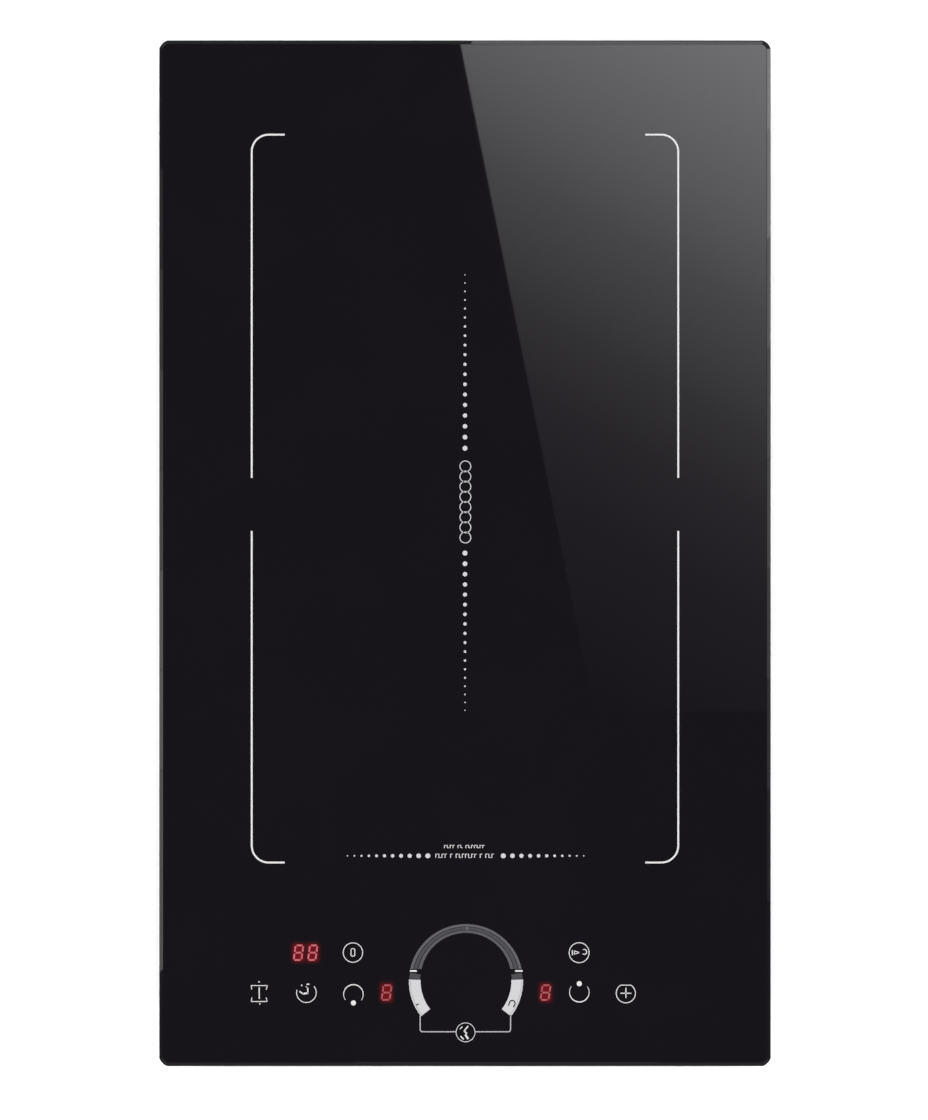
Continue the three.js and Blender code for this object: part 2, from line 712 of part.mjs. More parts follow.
/** An open plastic tray that presses the control board to the glass, on two legs. */
function controlHolder() {
  const { width, front, back, bottom } = CONTROL;
  const centre = (front + back) / 2;
  const margin = { front: 1.4, back: 3 }; // the casing's front wall leaves little room
  const depth = back - front + margin.front + margin.back;
  const middle = centre + (margin.back - margin.front) / 2;
  const loop = (inset, z) => ({
    outline: roundedRect(width + 6 - 2 * inset, depth - 2 * inset, 2.5 - inset, 2, 0, middle),
    z,
  });
  const floor = HOLDER.bottom + HOLDER.floor;
  const tray = skin([
    loop(0, HOLDER.bottom),
    loop(0, HOLDER.top),
    loop(HOLDER.wall, HOLDER.top),
    loop(HOLDER.wall, floor),
  ]);
  const legs = [-HOLDER.legX, HOLDER.legX].map((x) => bar(x, centre, 5, SHEET + 0.25, floor - 1, 10));
  const ribs = [-0.46, 0, 0.46].map((share) =>
    box([share * width - 1, front + 4, floor - 0.5], [share * width + 1, back - 4, bottom]),
  );
  const ribbonSlot = box([50, back - 14, HOLDER.bottom - 2], [70, back - 6, floor + 1]);
  return cut(joined(tray, ...legs, ...ribs), ribbonSlot);
}

/** A display block between the board and the glass. */
const displayBlock = (x, y, width, depth) =>
  box([x - width / 2, y - depth / 2, controlTop], [x + width / 2, y + depth / 2, GLASS_BOTTOM - 1]);

/** The clear ring under the slider scale. */
function sliderLightGuide() {
  const { x, y, outer, inner, from, to } = RING;
  const outline = [...arc(x, y, outer, from, to, 22), ...arc(x, y, inner, to, from, 22)];
  return prism(outline, controlTop, GLASS_BOTTOM - 0.5);
}

/** A flat strip bent in the YZ plane, as wide as its band along X. */
function ribbonCable() {
  const line = [[-138, 9], [-138, 15], [-152, 22], [-180, 32], [-198, 41], [-198, 49.5]];
  const half = 0.5;
  const normals = line.map(([y, z], i) => {
    const [before, after] = [line[Math.max(i - 1, 0)], line[Math.min(i + 1, line.length - 1)]];
    const along = new THREE.Vector2(after[0] - before[0], after[1] - before[1]).normalize();
    return [[y - along.y * half, z + along.x * half], [y + along.y * half, z - along.x * half]];
  });
  const outline = [...normals.map(([left]) => left), ...normals.map(([, right]) => right).reverse()];
  // The outline is drawn flat, then stood up with its first axis along Y and the band's width along X.
  return faceOut(prism(outline, 0, 14).rotateX(Math.PI / 2).rotateZ(Math.PI / 2).translate(53, 0, 0));
}

function touchControl() {
  return [
    part("control_board", controlBoard(), MATERIAL.circuitBoard),
    part("control_holder", controlHolder(), MATERIAL.whitePlastic),
    part("timer_display", displayBlock(-81, -202.4, 28, 14), MATERIAL.display),
    part("left_zone_display", displayBlock(-40, -223, 12, 16), MATERIAL.display),
    part("right_zone_display", displayBlock(41, -223, 12, 16), MATERIAL.display),
    part("slider_light_guide", sliderLightGuide(), MATERIAL.lightGuide),
    part("ribbon_cable", ribbonCable(), MATERIAL.cable),
  ];
}

// ---------- mains connection ----------

/** A plastic box inside the casing's back wall, open to the back, with a notch for the mains lead. */
function terminalBox() {
  const { left, right, front, back, bottom, top, wall } = TERMINAL;
  const outside = box([left, front, bottom], [right, back, top + wall]);
  const inside = box([left + wall, front + wall, bottom + wall], [right - wall, back + 1, top]);
  const leadHole = bar(0, 0, 5, -4, 4, 12).rotateY(Math.PI / 2).translate(left, front + 18, bottom + 12);
  return cut(outside, inside, leadHole);
}

/** A block with a wall between each two poles and a screw well in each. */
function terminalBlock() {
  const poles = 4;
  const pitch = 13;
  const width = poles * pitch + 2;
  const x = (TERMINAL.left + TERMINAL.right) / 2 - width / 2;
  const [y0, y1] = [TERMINAL.front + TERMINAL.wall + 1, TERMINAL.front + TERMINAL.wall + 20];
  const z = TERMINAL.bottom + TERMINAL.wall + 0.25;
  const walls = Array.from({ length: poles + 1 }, (_, i) =>
    box([x + i * pitch, y0, z], [x + i * pitch + 2, y1, z + 18]),
  );
  const wells = Array.from({ length: poles }, (_, i) => {
    const centre = x + i * pitch + pitch / 2 + 1;
    return bar(centre, (y0 + y1) / 2, 3.2, z + 8, z + 20, 10);
  });
  return cut(joined(box([x, y0, z], [x + width, y1, z + 12]), ...walls), ...wells);
}

/** A flush lid that hangs from a hinge bar along its top edge, with a latch at the bottom. */
function terminalCover() {
  const { left, right, bottom, wall } = TERMINAL;
  const [x0, x1] = [left + wall + 0.5, right - wall - 0.5];
  const floor = bottom + wall;
  const plate = box([x0, caseBack - COVER.thickness, floor + 0.5], [x1, caseBack, COVER.z + COVER.bar]);
  const hinge = bar(0, 0, COVER.bar, x0, x1, 10).rotateY(Math.PI / 2).translate(0, COVER.y, COVER.z);
  const middle = (x0 + x1) / 2;
  const latch = box([middle - 6, caseBack - 4.5, floor + 1], [middle + 6, caseBack - 1, floor + 2.5]);
  return joined(plate, hinge, latch);
}

/** A rubber bush in the back wall, with a lip on each side of the sheet. */
function cableGland() {
  const { x, z, body, flange, bore } = GLAND;
  const lip = FIT / 2;
  const profile = [
    [bore, -6], [flange - 2, -6], [flange, -4.5], [flange, -SHEET - lip], [body, -SHEET - lip],
    [body, lip], [flange, lip], [flange - 1, 1.4], [bore, 1.4], [bore, -6],
  ];
  return turned(profile, 20).rotateX(-Math.PI / 2).translate(x, caseBack, z);
}

function mainsConnection() {
  return [
    part("terminal_box", terminalBox(), MATERIAL.blackPlastic),
    part("terminal_block", terminalBlock(), MATERIAL.whitePlastic),
    part("terminal_cover", terminalCover(), MATERIAL.blackPlastic),
    part("cable_gland", cableGland(), MATERIAL.seal),
  ];
}

// ---------- the whole cooktop ----------

const cooktop = new THREE.Group();
cooktop.add(
  part("glass_panel", glassPanel(), MATERIAL.glass),
  part("worktop_seal", worktopSeal(), MATERIAL.seal),
  part("glass_frame", glassFrame(), MATERIAL.zinc),
  part("base_tray", baseTray(), MATERIAL.casing),
  coilUnit("rear", ZONE_Y + COIL.pitch / 2),
  coilUnit("front", ZONE_Y - COIL.pitch / 2),
  ...coilSupports(),
  coilLead("rear", ZONE_Y + COIL.pitch / 2, 50),
  coilLead("front", ZONE_Y - COIL.pitch / 2, -106),
  ...powerElectronics(),
  blower(),
  ...touchControl(),
  ...mainsConnection(),
);

for (const place of clampPlaces) {
  const pieces = [
    part(`clamp_finger_${place.name}`, clampFinger(), MATERIAL.zinc),
    part(`clamp_screw_${place.name}`, clampScrew(), MATERIAL.zinc),
  ];
  cooktop.add(assembly(pieces, place.x, place.y));
}

for (const side of [-1, 1]) {
  for (const [end, way] of [["rear", 1], ["front", -1]]) {
    const name = `case_screw_${end}_${side < 0 ? "left" : "right"}`;
    const screw = part(name, caseScrew(side), MATERIAL.zinc);
    cooktop.add(assembly([screw], side * (caseSide + 0.1), way * CASE_SCREW.y, CASE_SCREW.z));
  }
}

export default cooktop;
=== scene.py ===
"""Looks of a slim built-in induction cooktop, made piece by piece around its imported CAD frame.

Sizes are in millimetres in the frame's own axes: +Z up, +Y to the back of the worktop, +X to the right.
"""

from __future__ import annotations

import json
import logging
import math
from collections.abc import Callable, Iterator, Sequence
from contextlib import contextmanager
from dataclasses import dataclass
from enum import Enum

import bmesh
import bpy
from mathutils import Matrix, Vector

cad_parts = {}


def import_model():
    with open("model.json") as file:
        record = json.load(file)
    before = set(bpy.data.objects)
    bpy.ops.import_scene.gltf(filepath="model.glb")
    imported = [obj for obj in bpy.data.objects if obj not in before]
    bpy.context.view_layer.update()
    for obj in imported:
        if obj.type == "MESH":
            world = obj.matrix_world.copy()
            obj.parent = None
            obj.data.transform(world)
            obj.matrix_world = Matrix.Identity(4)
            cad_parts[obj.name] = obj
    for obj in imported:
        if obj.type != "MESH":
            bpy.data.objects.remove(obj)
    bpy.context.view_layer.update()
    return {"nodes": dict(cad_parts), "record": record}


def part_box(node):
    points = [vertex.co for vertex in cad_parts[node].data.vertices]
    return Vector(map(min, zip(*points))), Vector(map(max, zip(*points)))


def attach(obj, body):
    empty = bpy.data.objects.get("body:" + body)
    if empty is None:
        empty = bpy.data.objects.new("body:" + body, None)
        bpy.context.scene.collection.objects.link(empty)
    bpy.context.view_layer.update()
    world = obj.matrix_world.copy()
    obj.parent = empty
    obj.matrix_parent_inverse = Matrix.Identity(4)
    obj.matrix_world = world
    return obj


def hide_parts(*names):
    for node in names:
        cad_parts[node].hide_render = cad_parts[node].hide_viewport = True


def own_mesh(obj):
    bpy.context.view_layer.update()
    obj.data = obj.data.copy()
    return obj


LOG = logging.getLogger("cooktop")
MM = 0.001
FULL_TURN = 2 * math.pi

Colour = tuple[float, float, float]
Point = tuple[float, float, float]
Place = tuple[float, float]
Thing = bpy.types.Object
Socket = bpy.types.NodeSocket


# ---------------------------------------------------------------- modelling by hand


def metres(*values: float) -> tuple[float, ...]:
    """Millimetres as metres."""
    return tuple(value * MM for value in values)


def cleared() -> None:
    """Deselects every object, before one is added or picked."""
    bpy.ops.object.select_all(action="DESELECT")


def only(*things: Thing) -> None:
    """Selects these objects alone, the first of them active."""
    cleared()
    for thing in things:
        thing.select_set(True)
    bpy.context.view_layer.objects.active = things[0]


def settle(thing: Thing) -> Thing:
    """Moves an object's place, turn and size into its mesh.

    Args:
        thing: the object to settle.

    Returns:
        The same object, at the origin.
    """
    only(thing)
    bpy.ops.object.transform_apply(location=True, rotation=True, scale=True)
    return thing


def placed(thing: Thing, turn: Point, at: Point) -> Thing:
    """Turns a thing about the origin by angles in radians, moves it to a place and settles it."""
    thing.rotation_euler = turn
    thing.location = metres(*at)
    return settle(thing)


def span(node: str) -> tuple[Vector, Vector]:
    """The lowest and the highest corner of a CAD node, in millimetres."""
    low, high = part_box(node)
    return low / MM, high / MM


def middle_of(node: str) -> Point:
    """The middle of a CAD node's box, in millimetres."""
    return tuple((a + b) / 2 for a, b in zip(*span(node), strict=True))


def named(name: str) -> Thing:
    """Names the object that an operator has just added, and settles it."""
    thing = bpy.context.active_object
    thing.name = name
    thing.data.name = name
    return settle(thing)


@contextmanager
def editing(thing: Thing, picks: str = "DESELECT") -> Iterator[None]:
    """Edit mode on one object, with nothing selected in it at first, or all of it with picks SELECT."""
    only(thing)
    bpy.ops.object.mode_set(mode="EDIT")
    bpy.ops.mesh.select_mode(type="FACE")
    bpy.ops.mesh.select_all(action=picks)
    yield
    bpy.ops.object.mode_set(mode="OBJECT")


def pick(kind: str, test: Callable[[object], bool]) -> None:
    """Selects the faces or the edges that pass a test, and nothing else.

    Args:
        kind: FACE or EDGE.
        test: says yes to a face or an edge.
    """
    bpy.ops.mesh.select_mode(type=kind)
    bpy.ops.mesh.select_all(action="DESELECT")
    mesh = bpy.context.edit_object.data
    shape = bmesh.from_edit_mesh(mesh)
    for part in shape.faces if kind == "FACE" else shape.edges:
        if test(part):
            part.select_set(True)
    bmesh.update_edit_mesh(mesh)


def pick_faces(test: Callable[[Vector], bool]) -> None:
    """Selects the faces whose normals pass a test."""
    pick("FACE", lambda face: test(face.normal))


def pick_edges(test: Callable[[Vector, Vector], bool]) -> None:
    """Selects the edges whose ends, in millimetres, pass a test."""
    pick("EDGE", lambda edge: test(edge.verts[0].co / MM, edge.verts[1].co / MM))


def bevel_edges(
    test: Callable[[Vector, Vector], bool], width: float, segments: int, **settings: object
) -> None:
    """Bevels the edges whose ends pass a test, in edit mode.

    Args:
        test: says yes to an edge from its two ends, in millimetres.
        width: the bevel's width.
        segments: how many steps it has.
        **settings: other settings of the bevel.
    """
    pick_edges(test)
    bpy.ops.mesh.bevel(offset=width * MM, segments=segments, affect="EDGES", **settings)


def upright(a: Vector, b: Vector) -> bool:
    """Whether an edge between two points stands upright."""
    return abs(a.z - b.z) > 1


def looks_up(normal: Vector) -> bool:
    """Whether a face with this normal looks up."""
    return normal.z > 0.9


def press(test: Callable[[Vector], bool], inset: float, move: Point) -> None:
    """Insets the faces whose normals pass a test, and moves what is inside.

    Args:
        test: says yes to a face from its normal.
        inset: how far in the new edges lie.
        move: how far the faces move.
    """
    pick_faces(test)
    bpy.ops.mesh.inset(thickness=inset * MM)
    bpy.ops.transform.translate(value=metres(*move))


def mend(thing: Thing, gap: float = 0.001) -> Thing:
    """Merges an object's doubled vertices and turns its faces outwards.

    Args:
        thing: the object to mend.
        gap: vertices closer than this become one.

    Returns:
        The same object.
    """
    with editing(thing, "SELECT"):
        bpy.ops.mesh.remove_doubles(threshold=gap * MM)
        bpy.ops.mesh.normals_make_consistent(inside=False)
    return thing


def modified(thing: Thing, kind: str, **settings: object) -> Thing:
    """Adds a modifier, sets it and applies it.

    Args:
        thing: the object to change.
        kind: the modifier's type.
        **settings: the modifier's values, lengths in metres.

    Returns:
        The same object.
    """
    only(thing)
    bpy.ops.object.modifier_add(type=kind)
    modifier = thing.modifiers[-1]
    for key, value in settings.items():
        setattr(modifier, key, value)
    bpy.ops.object.modifier_apply(modifier=modifier.name)
    return thing


def rounded(thing: Thing, width: float, segments: int = 2, over: float = 40) -> Thing:
    """Rounds the edges that are sharper than an angle in degrees."""
    settings = {"limit_method": "ANGLE", "angle_limit": math.radians(over), "use_clamp_overlap": True}
    return modified(thing, "BEVEL", width=width * MM, segments=segments, **settings)


def smooth(thing: Thing, angle: float = 35) -> Thing:
    """Shades an object smooth, but for edges sharper than an angle in degrees."""
    only(thing)
    bpy.ops.object.shade_smooth_by_angle(angle=math.radians(angle))
    return thing


def flat_smooth(thing: Thing, angle: float = 35) -> Thing:
    """Shades an object smooth with its large faces kept flat."""
    smooth(thing, angle)
    return modified(thing, "WEIGHTED_NORMAL", keep_sharp=True, weight=80)


def block(name: str, low: Point, high: Point, edge: float = 0.0) -> Thing:
    """A box between two corners.

    Args:
        name: the object's name.
        low: one corner, the lowest one where it matters to what is done next.
        high: the opposite corner.
        edge: the radius of its edges, or 0 to leave them sharp.

    Returns:
        The box.
    """
    middle = [(a + b) / 2 for a, b in zip(low, high, strict=True)]
    size = [abs(b - a) for a, b in zip(low, high, strict=True)]
    cleared()
    bpy.ops.mesh.primitive_cube_add(size=1, location=metres(*middle), scale=metres(*size))
    box = named(name)
    return rounded(box, edge) if edge else box


def drum(
    name: str, at: Place, radius: float, low: float, high: float, sides: int = 32, edge: float = 0.0
) -> Thing:
    """A round bar that stands on Z.

    Args:
        name: the object's name.
        at: where its axis is.
        radius: its radius.
        low: the height of its foot.
        high: the height of its top.
        sides: how many sides it is drawn with.
        edge: the radius of its rims, or 0 to leave them sharp.

    Returns:
        The bar.
    """
    cleared()
    middle = metres(*at, (low + high) / 2)
    bpy.ops.mesh.primitive_cylinder_add(
        vertices=sides, radius=radius * MM, depth=(high - low) * MM, location=middle
    )
    bar = named(name)
    return rounded(bar, edge, over=60) if edge else bar


def stadium(name: str, low: Point, high: Point) -> Thing:
    """A box whose ends along its longest side in plan are half round.

    Args:
        name: the object's name.
        low: the lowest corner.
        high: the highest corner.

    Returns:
        The rounded box, with its length along X or Y.
    """
    bar = block(name, low, high)
    radius = min(high[0] - low[0], high[1] - low[1]) / 2 * 0.999
    with editing(bar):
        bevel_edges(lambda a, b: abs(a.z - b.z) > (high[2] - low[2]) / 2, radius, 5)
    return bar


def turned(name: str, profile: Sequence[Place], at: Place = (0, 0), sides: int = 64) -> Thing:
    """A turned body: its profile is drawn point by point, then spun about Z.

    Args:
        name: the object's name.
        profile: points of the profile as radius and height. It ends on the axis or joins its own start.
        at: where the axis is.
        sides: how many steps the turn has.

    Returns:
        The body, closed and with its faces outwards.
    """
    cleared()
    bpy.ops.object.add(type="MESH")
    body = bpy.context.active_object
    body.name = name
    with editing(body):
        bpy.ops.mesh.select_mode(type="VERT")
        start = (at[0] + profile[0][0], at[1], profile[0][1])
        bpy.ops.mesh.primitive_plane_add(size=MM, location=metres(*start))
        bpy.ops.mesh.merge(type="CENTER")
        for (r0, z0), (r1, z1) in zip(profile, profile[1:]):
            bpy.ops.mesh.extrude_region_move(TRANSFORM_OT_translate={"value": metres(r1 - r0, 0, z1 - z0)})
        bpy.ops.mesh.select_all(action="SELECT")
        bpy.ops.mesh.spin(steps=sides, angle=FULL_TURN, center=metres(*at, 0), axis=(0, 0, 1))
    return mend(body, 0.002)


def joined(name: str, things: Sequence[Thing]) -> Thing:
    """Joins objects into one.

    Args:
        name: the name of the result.
        things: the objects to join.

    Returns:
        The joined object.
    """
    only(*things)
    if len(things) > 1:
        bpy.ops.object.join()
    thing = bpy.context.active_object
    thing.name = name
    thing.data.name = name
    return thing


def copied(
    thing: Thing, name: str, move: Point = (0, 0, 0), turn: float = 0.0, about: Place = (0, 0)
) -> Thing:
    """A copy with its own mesh, turned about a line along Z and then moved.

    Args:
        thing: the object to copy.
        name: the copy's name.
        move: how far the copy moves.
        turn: how far it turns, in degrees.
        about: where the line is.

    Returns:
        The copy, settled.
    """
    only(thing)
    bpy.ops.object.duplicate(linked=False)
    copy = bpy.context.active_object
    copy.name = name
    angle = math.radians(turn)
    x, y = about
    shift = (
        x - x * math.cos(angle) + y * math.sin(angle) + move[0],
        y - x * math.sin(angle) - y * math.cos(angle) + move[1],
        move[2],
    )
    copy.rotation_euler = (0, 0, angle)
    copy.location = metres(*shift)
    return settle(copy)


def ring_of(thing: Thing, name: str, count: int, about: Place, start: float = 0.0) -> Thing:
    """Copies of an object around a line along Z, joined into one."""
    copies = [copied(thing, f"{name}_{i}", turn=start + 360 * i / count, about=about) for i in range(count)]
    bpy.data.objects.remove(thing)
    return joined(name, copies)


def carved(thing: Thing, cutters: Sequence[Thing], operation: str = "DIFFERENCE") -> Thing:
    """Cuts objects out of one object, or adds them to it.

    Args:
        thing: the object to change.
        cutters: the objects to cut with, which don't overlap. They are used up.
        operation: the boolean modifier's operation.

    Returns:
        The changed object.
    """
    cutter = joined("cutter", cutters)
    modified(thing, "BOOLEAN", object=cutter, operation=operation, solver="MANIFOLD")
    bpy.data.objects.remove(cutter)
    return thing


def cross_cutter(at: Point, half: float, thick: float, rise: float) -> Thing:
    """A cutter for the cross recess of a screw.

    Args:
        at: the middle of its foot.
        half: from its middle to the end of an arm.
        thick: half the width of an arm.
        rise: its height.

    Returns:
        The cutter.
    """
    x, y, z = at
    arms = [
        block("cut", (x - a, y - b, z), (x + a, y + b, z + rise)) for a, b in ((half, thick), (thick, half))
    ]
    return carved(arms[0], arms[1:], "UNION")


def coloured(ramp: bpy.types.ColorRamp, stops: Sequence[tuple[float, Colour]]) -> None:
    """Sets the stops of a colour ramp.

    Args:
        ramp: the ramp, as it is when new.
        stops: the place and the colour of each stop.
    """
    while len(ramp.elements) < len(stops):
        ramp.elements.new(0.5)
    for element, (position, colour) in zip(ramp.elements, stops, strict=True):
        element.position = position
        element.color = (*colour, 1)


def around(at: Place, radius: float, turns: float) -> Place:
    """A point on a circle, a number of turns anticlockwise from +X."""
    angle = FULL_TURN * turns
    return at[0] + radius * math.cos(angle), at[1] + radius * math.sin(angle)


def smooth_line(points: Sequence[Point], steps: int) -> list[Point]:
    """A smooth line through a few points.

    Args:
        points: the points it passes through.
        steps: how many steps there are from one point to the next.

    Returns:
        The points of the line.
    """
    ends = [points[0], *points, points[-1]]
    line: list[Point] = []
    for i in range(1, len(ends) - 2):
        p0, p1, p2, p3 = (Vector(ends[i + k]) for k in (-1, 0, 1, 2))
        for k in range(steps):
            t = k / steps
            way = p1 * 2 + (p2 - p0) * t
            way += (p0 * 2 - p1 * 5 + p2 * 4 - p3) * t**2
            way += (p1 * 3 - p0 - p2 * 3 + p3) * t**3
            line.append(tuple(way / 2))
    return [*line, points[-1]]


def tube(name: str, line: Sequence[Point], radius: float, resolution: int = 2) -> Thing:
    """A round wire along a line.

    Args:
        name: the object's name.
        line: the points it follows.
        radius: the wire's radius.
        resolution: how finely its section is drawn.

    Returns:
        The wire as a closed mesh, with a UV map along it.
    """
    curve = bpy.data.curves.new(name, "CURVE")
    curve.dimensions = "3D"
    curve.bevel_depth = radius * MM
    curve.bevel_resolution = resolution
    curve.use_fill_caps = True
    spline = curve.splines.new("POLY")
    spline.points.add(len(line) - 1)
    for point, place in zip(spline.points, line, strict=True):
        point.co = (*metres(*place), 1)
    wire = bpy.data.objects.new(name, curve)
    bpy.context.scene.collection.objects.link(wire)
    only(wire)
    bpy.ops.object.convert(target="MESH")
    return smooth(mend(bpy.context.active_object), 60)


def helix(name: str, at: Place, radius: float, wire: float, low: float, high: float, turns: float) -> Thing:
    """A coil spring about a line along Z.

    Args:
        name: the object's name.
        at: where its axis is.
        radius: the radius of its turns.
        wire: the radius of its wire.
        low: its lowest height.
        high: its highest height.
        turns: how many turns it has.

    Returns:
        The spring.
    """
    rise = high - low - 2 * wire
    steps = round(turns * 20)
    line = []
    for i in range(steps + 1):
        share = i / steps
        eased = share - math.sin(FULL_TURN * share) / FULL_TURN * 0.7
        line.append((*around(at, radius, turns * share), low + wire + rise * eased))
    return tube(name, line, wire)


def folded_tray(name: str, low: Point, high: Point, corner: float, bend: float, sheet: float) -> Thing:
    """A tray of sheet, open at its top, with round corners and bends.

    Args:
        name: the object's name.
        low: the lowest corner of its outside.
        high: the highest corner of its outside.
        corner: the radius of its upright corners.
        bend: the radius of the bend around its floor.
        sheet: the sheet's thickness.

    Returns:
        The tray.
    """
    tray = block(name, low, high)
    with editing(tray):
        bevel_edges(upright, corner, 8)
        bevel_edges(lambda a, b: max(a.z, b.z) < low[2] + 0.01, bend, 4)
        pick_faces(looks_up)
        bpy.ops.mesh.delete(type="FACE")
    return modified(tray, "SOLIDIFY", thickness=sheet * MM, offset=-1, use_even_offset=True)


# ---------------------------------------------------------------- finishes


class Texture(Enum):
    """What the surface of a finish looks like from close by."""

    MOULDED = "fine moulded grain"
    BRUSHED = "fine lines along X"
    SPANGLE = "crystals of a hot-dip zinc coat"
    PLATED = "soft clouds of a plated coat"
    FLAKE = "pressed flakes"
    FOAM = "open cells"
    STRANDS = "wires twisted around each other"
    WEAVE = "a braided sleeve"
    TRACES = "copper tracks under a lacquer"
    RIBS = "lines along the length"


class Nodes:
    """A material's node tree, with short calls for the nodes that the finishes use."""

    def __init__(self, name: str) -> None:
        """Makes an empty material of that name."""
        self.material = bpy.data.materials.new(name)
        self.material.use_nodes = True
        self.tree = self.material.node_tree
        self.shader = self.tree.nodes["Principled BSDF"]

    def add(
        self, kind: str, inputs: dict[str | int, object] | None = None, **settings: object
    ) -> bpy.types.Node:
        """Adds a node.

        Args:
            kind: the node's type.
            inputs: values or sockets for its inputs.
            **settings: its other settings.

        Returns:
            The node.
        """
        node = self.tree.nodes.new(kind)
        for key, value in settings.items():
            setattr(node, key, value)
        for key, value in (inputs or {}).items():
            self.feed(node.inputs[key], value)
        return node

    def feed(self, socket: Socket, value: object) -> None:
        """Gives a socket a value, or a link from another socket."""
        if isinstance(value, Socket):
            self.tree.links.new(value, socket)
        else:
            socket.default_value = value

    def place(self, scale: Point = (1, 1, 1), kind: str = "Object") -> Socket:
        """Object coordinates in metres, or UV coordinates, stretched by a scale."""
        place = self.add("ShaderNodeTexCoord").outputs[kind]
        return self.add("ShaderNodeMapping", {"Vector": place, "Scale": scale}).outputs["Vector"]

    def noise(self, at: Socket, size: float, detail: float = 3.0) -> Socket:
        """Noise with features of a size in millimetres."""
        inputs = {"Vector": at, "Scale": 1 / (size * MM), "Detail": detail}
        return self.add("ShaderNodeTexNoise", inputs).outputs["Fac"]

    def cells(
        self, at: Socket, size: float, output: str = "Color", feature: str = "F1"
    ) -> Socket:
        """Cells of a size in millimetres."""
        node = self.add("ShaderNodeTexVoronoi", {"Vector": at, "Scale": 1 / (size * MM)}, feature=feature)
        return node.outputs[output]

    def wave(self, at: Socket, size: float, axis: str, bend: float = 0.0) -> Socket:
        """Parallel ridges, a size in millimetres apart."""
        inputs = {"Vector": at, "Scale": FULL_TURN / (20 * size * MM), "Distortion": bend}
        node = self.add("ShaderNodeTexWave", inputs, bands_direction=axis)
        return node.outputs["Fac"]

    def sum_of(self, *terms: object) -> Socket:
        """The sum of sockets or numbers."""
        total = terms[0]
        for term in terms[1:]:
            total = self.math("ADD", total, term)
        return total

    def math(self, operation: str, *values: object) -> Socket:
        """A number worked out from sockets or numbers."""
        return self.add("ShaderNodeMath", dict(enumerate(values)), operation=operation).outputs[0]

    def vector(self, operation: str, *values: object, output: str = "Vector") -> Socket:
        """A vector, or a number with output Value, worked out from sockets or vectors."""
        node = self.add("ShaderNodeVectorMath", dict(enumerate(values)), operation=operation)
        return node.outputs[output]

    def ramp(self, value: object, stops: Sequence[tuple[float, Colour]]) -> Socket:
        """A colour read from a scale of stops."""
        node = self.add("ShaderNodeValToRGB", {"Fac": value})
        coloured(node.color_ramp, stops)
        return node.outputs["Color"]

    def between(self, value: object, low: float, high: float) -> Socket:
        """A value from 0 to 1 spread over a range."""
        return self.add("ShaderNodeMapRange", {"Value": value, "To Min": low, "To Max": high}).outputs[0]

    def bump(self, height: object, depth: float) -> None:
        """Gives the surface relief, with a depth in millimetres."""
        node = self.add("ShaderNodeBump", {"Height": height, "Distance": depth * MM, "Strength": 1.0})
        self.feed(self.shader.inputs["Normal"], node.outputs["Normal"])

    def say(self, **values: object) -> None:
        """Sets or links inputs of the shader, with spaces in their names written as underscores."""
        for key, value in values.items():
            self.feed(self.shader.inputs[key.replace("_", " ")], value)


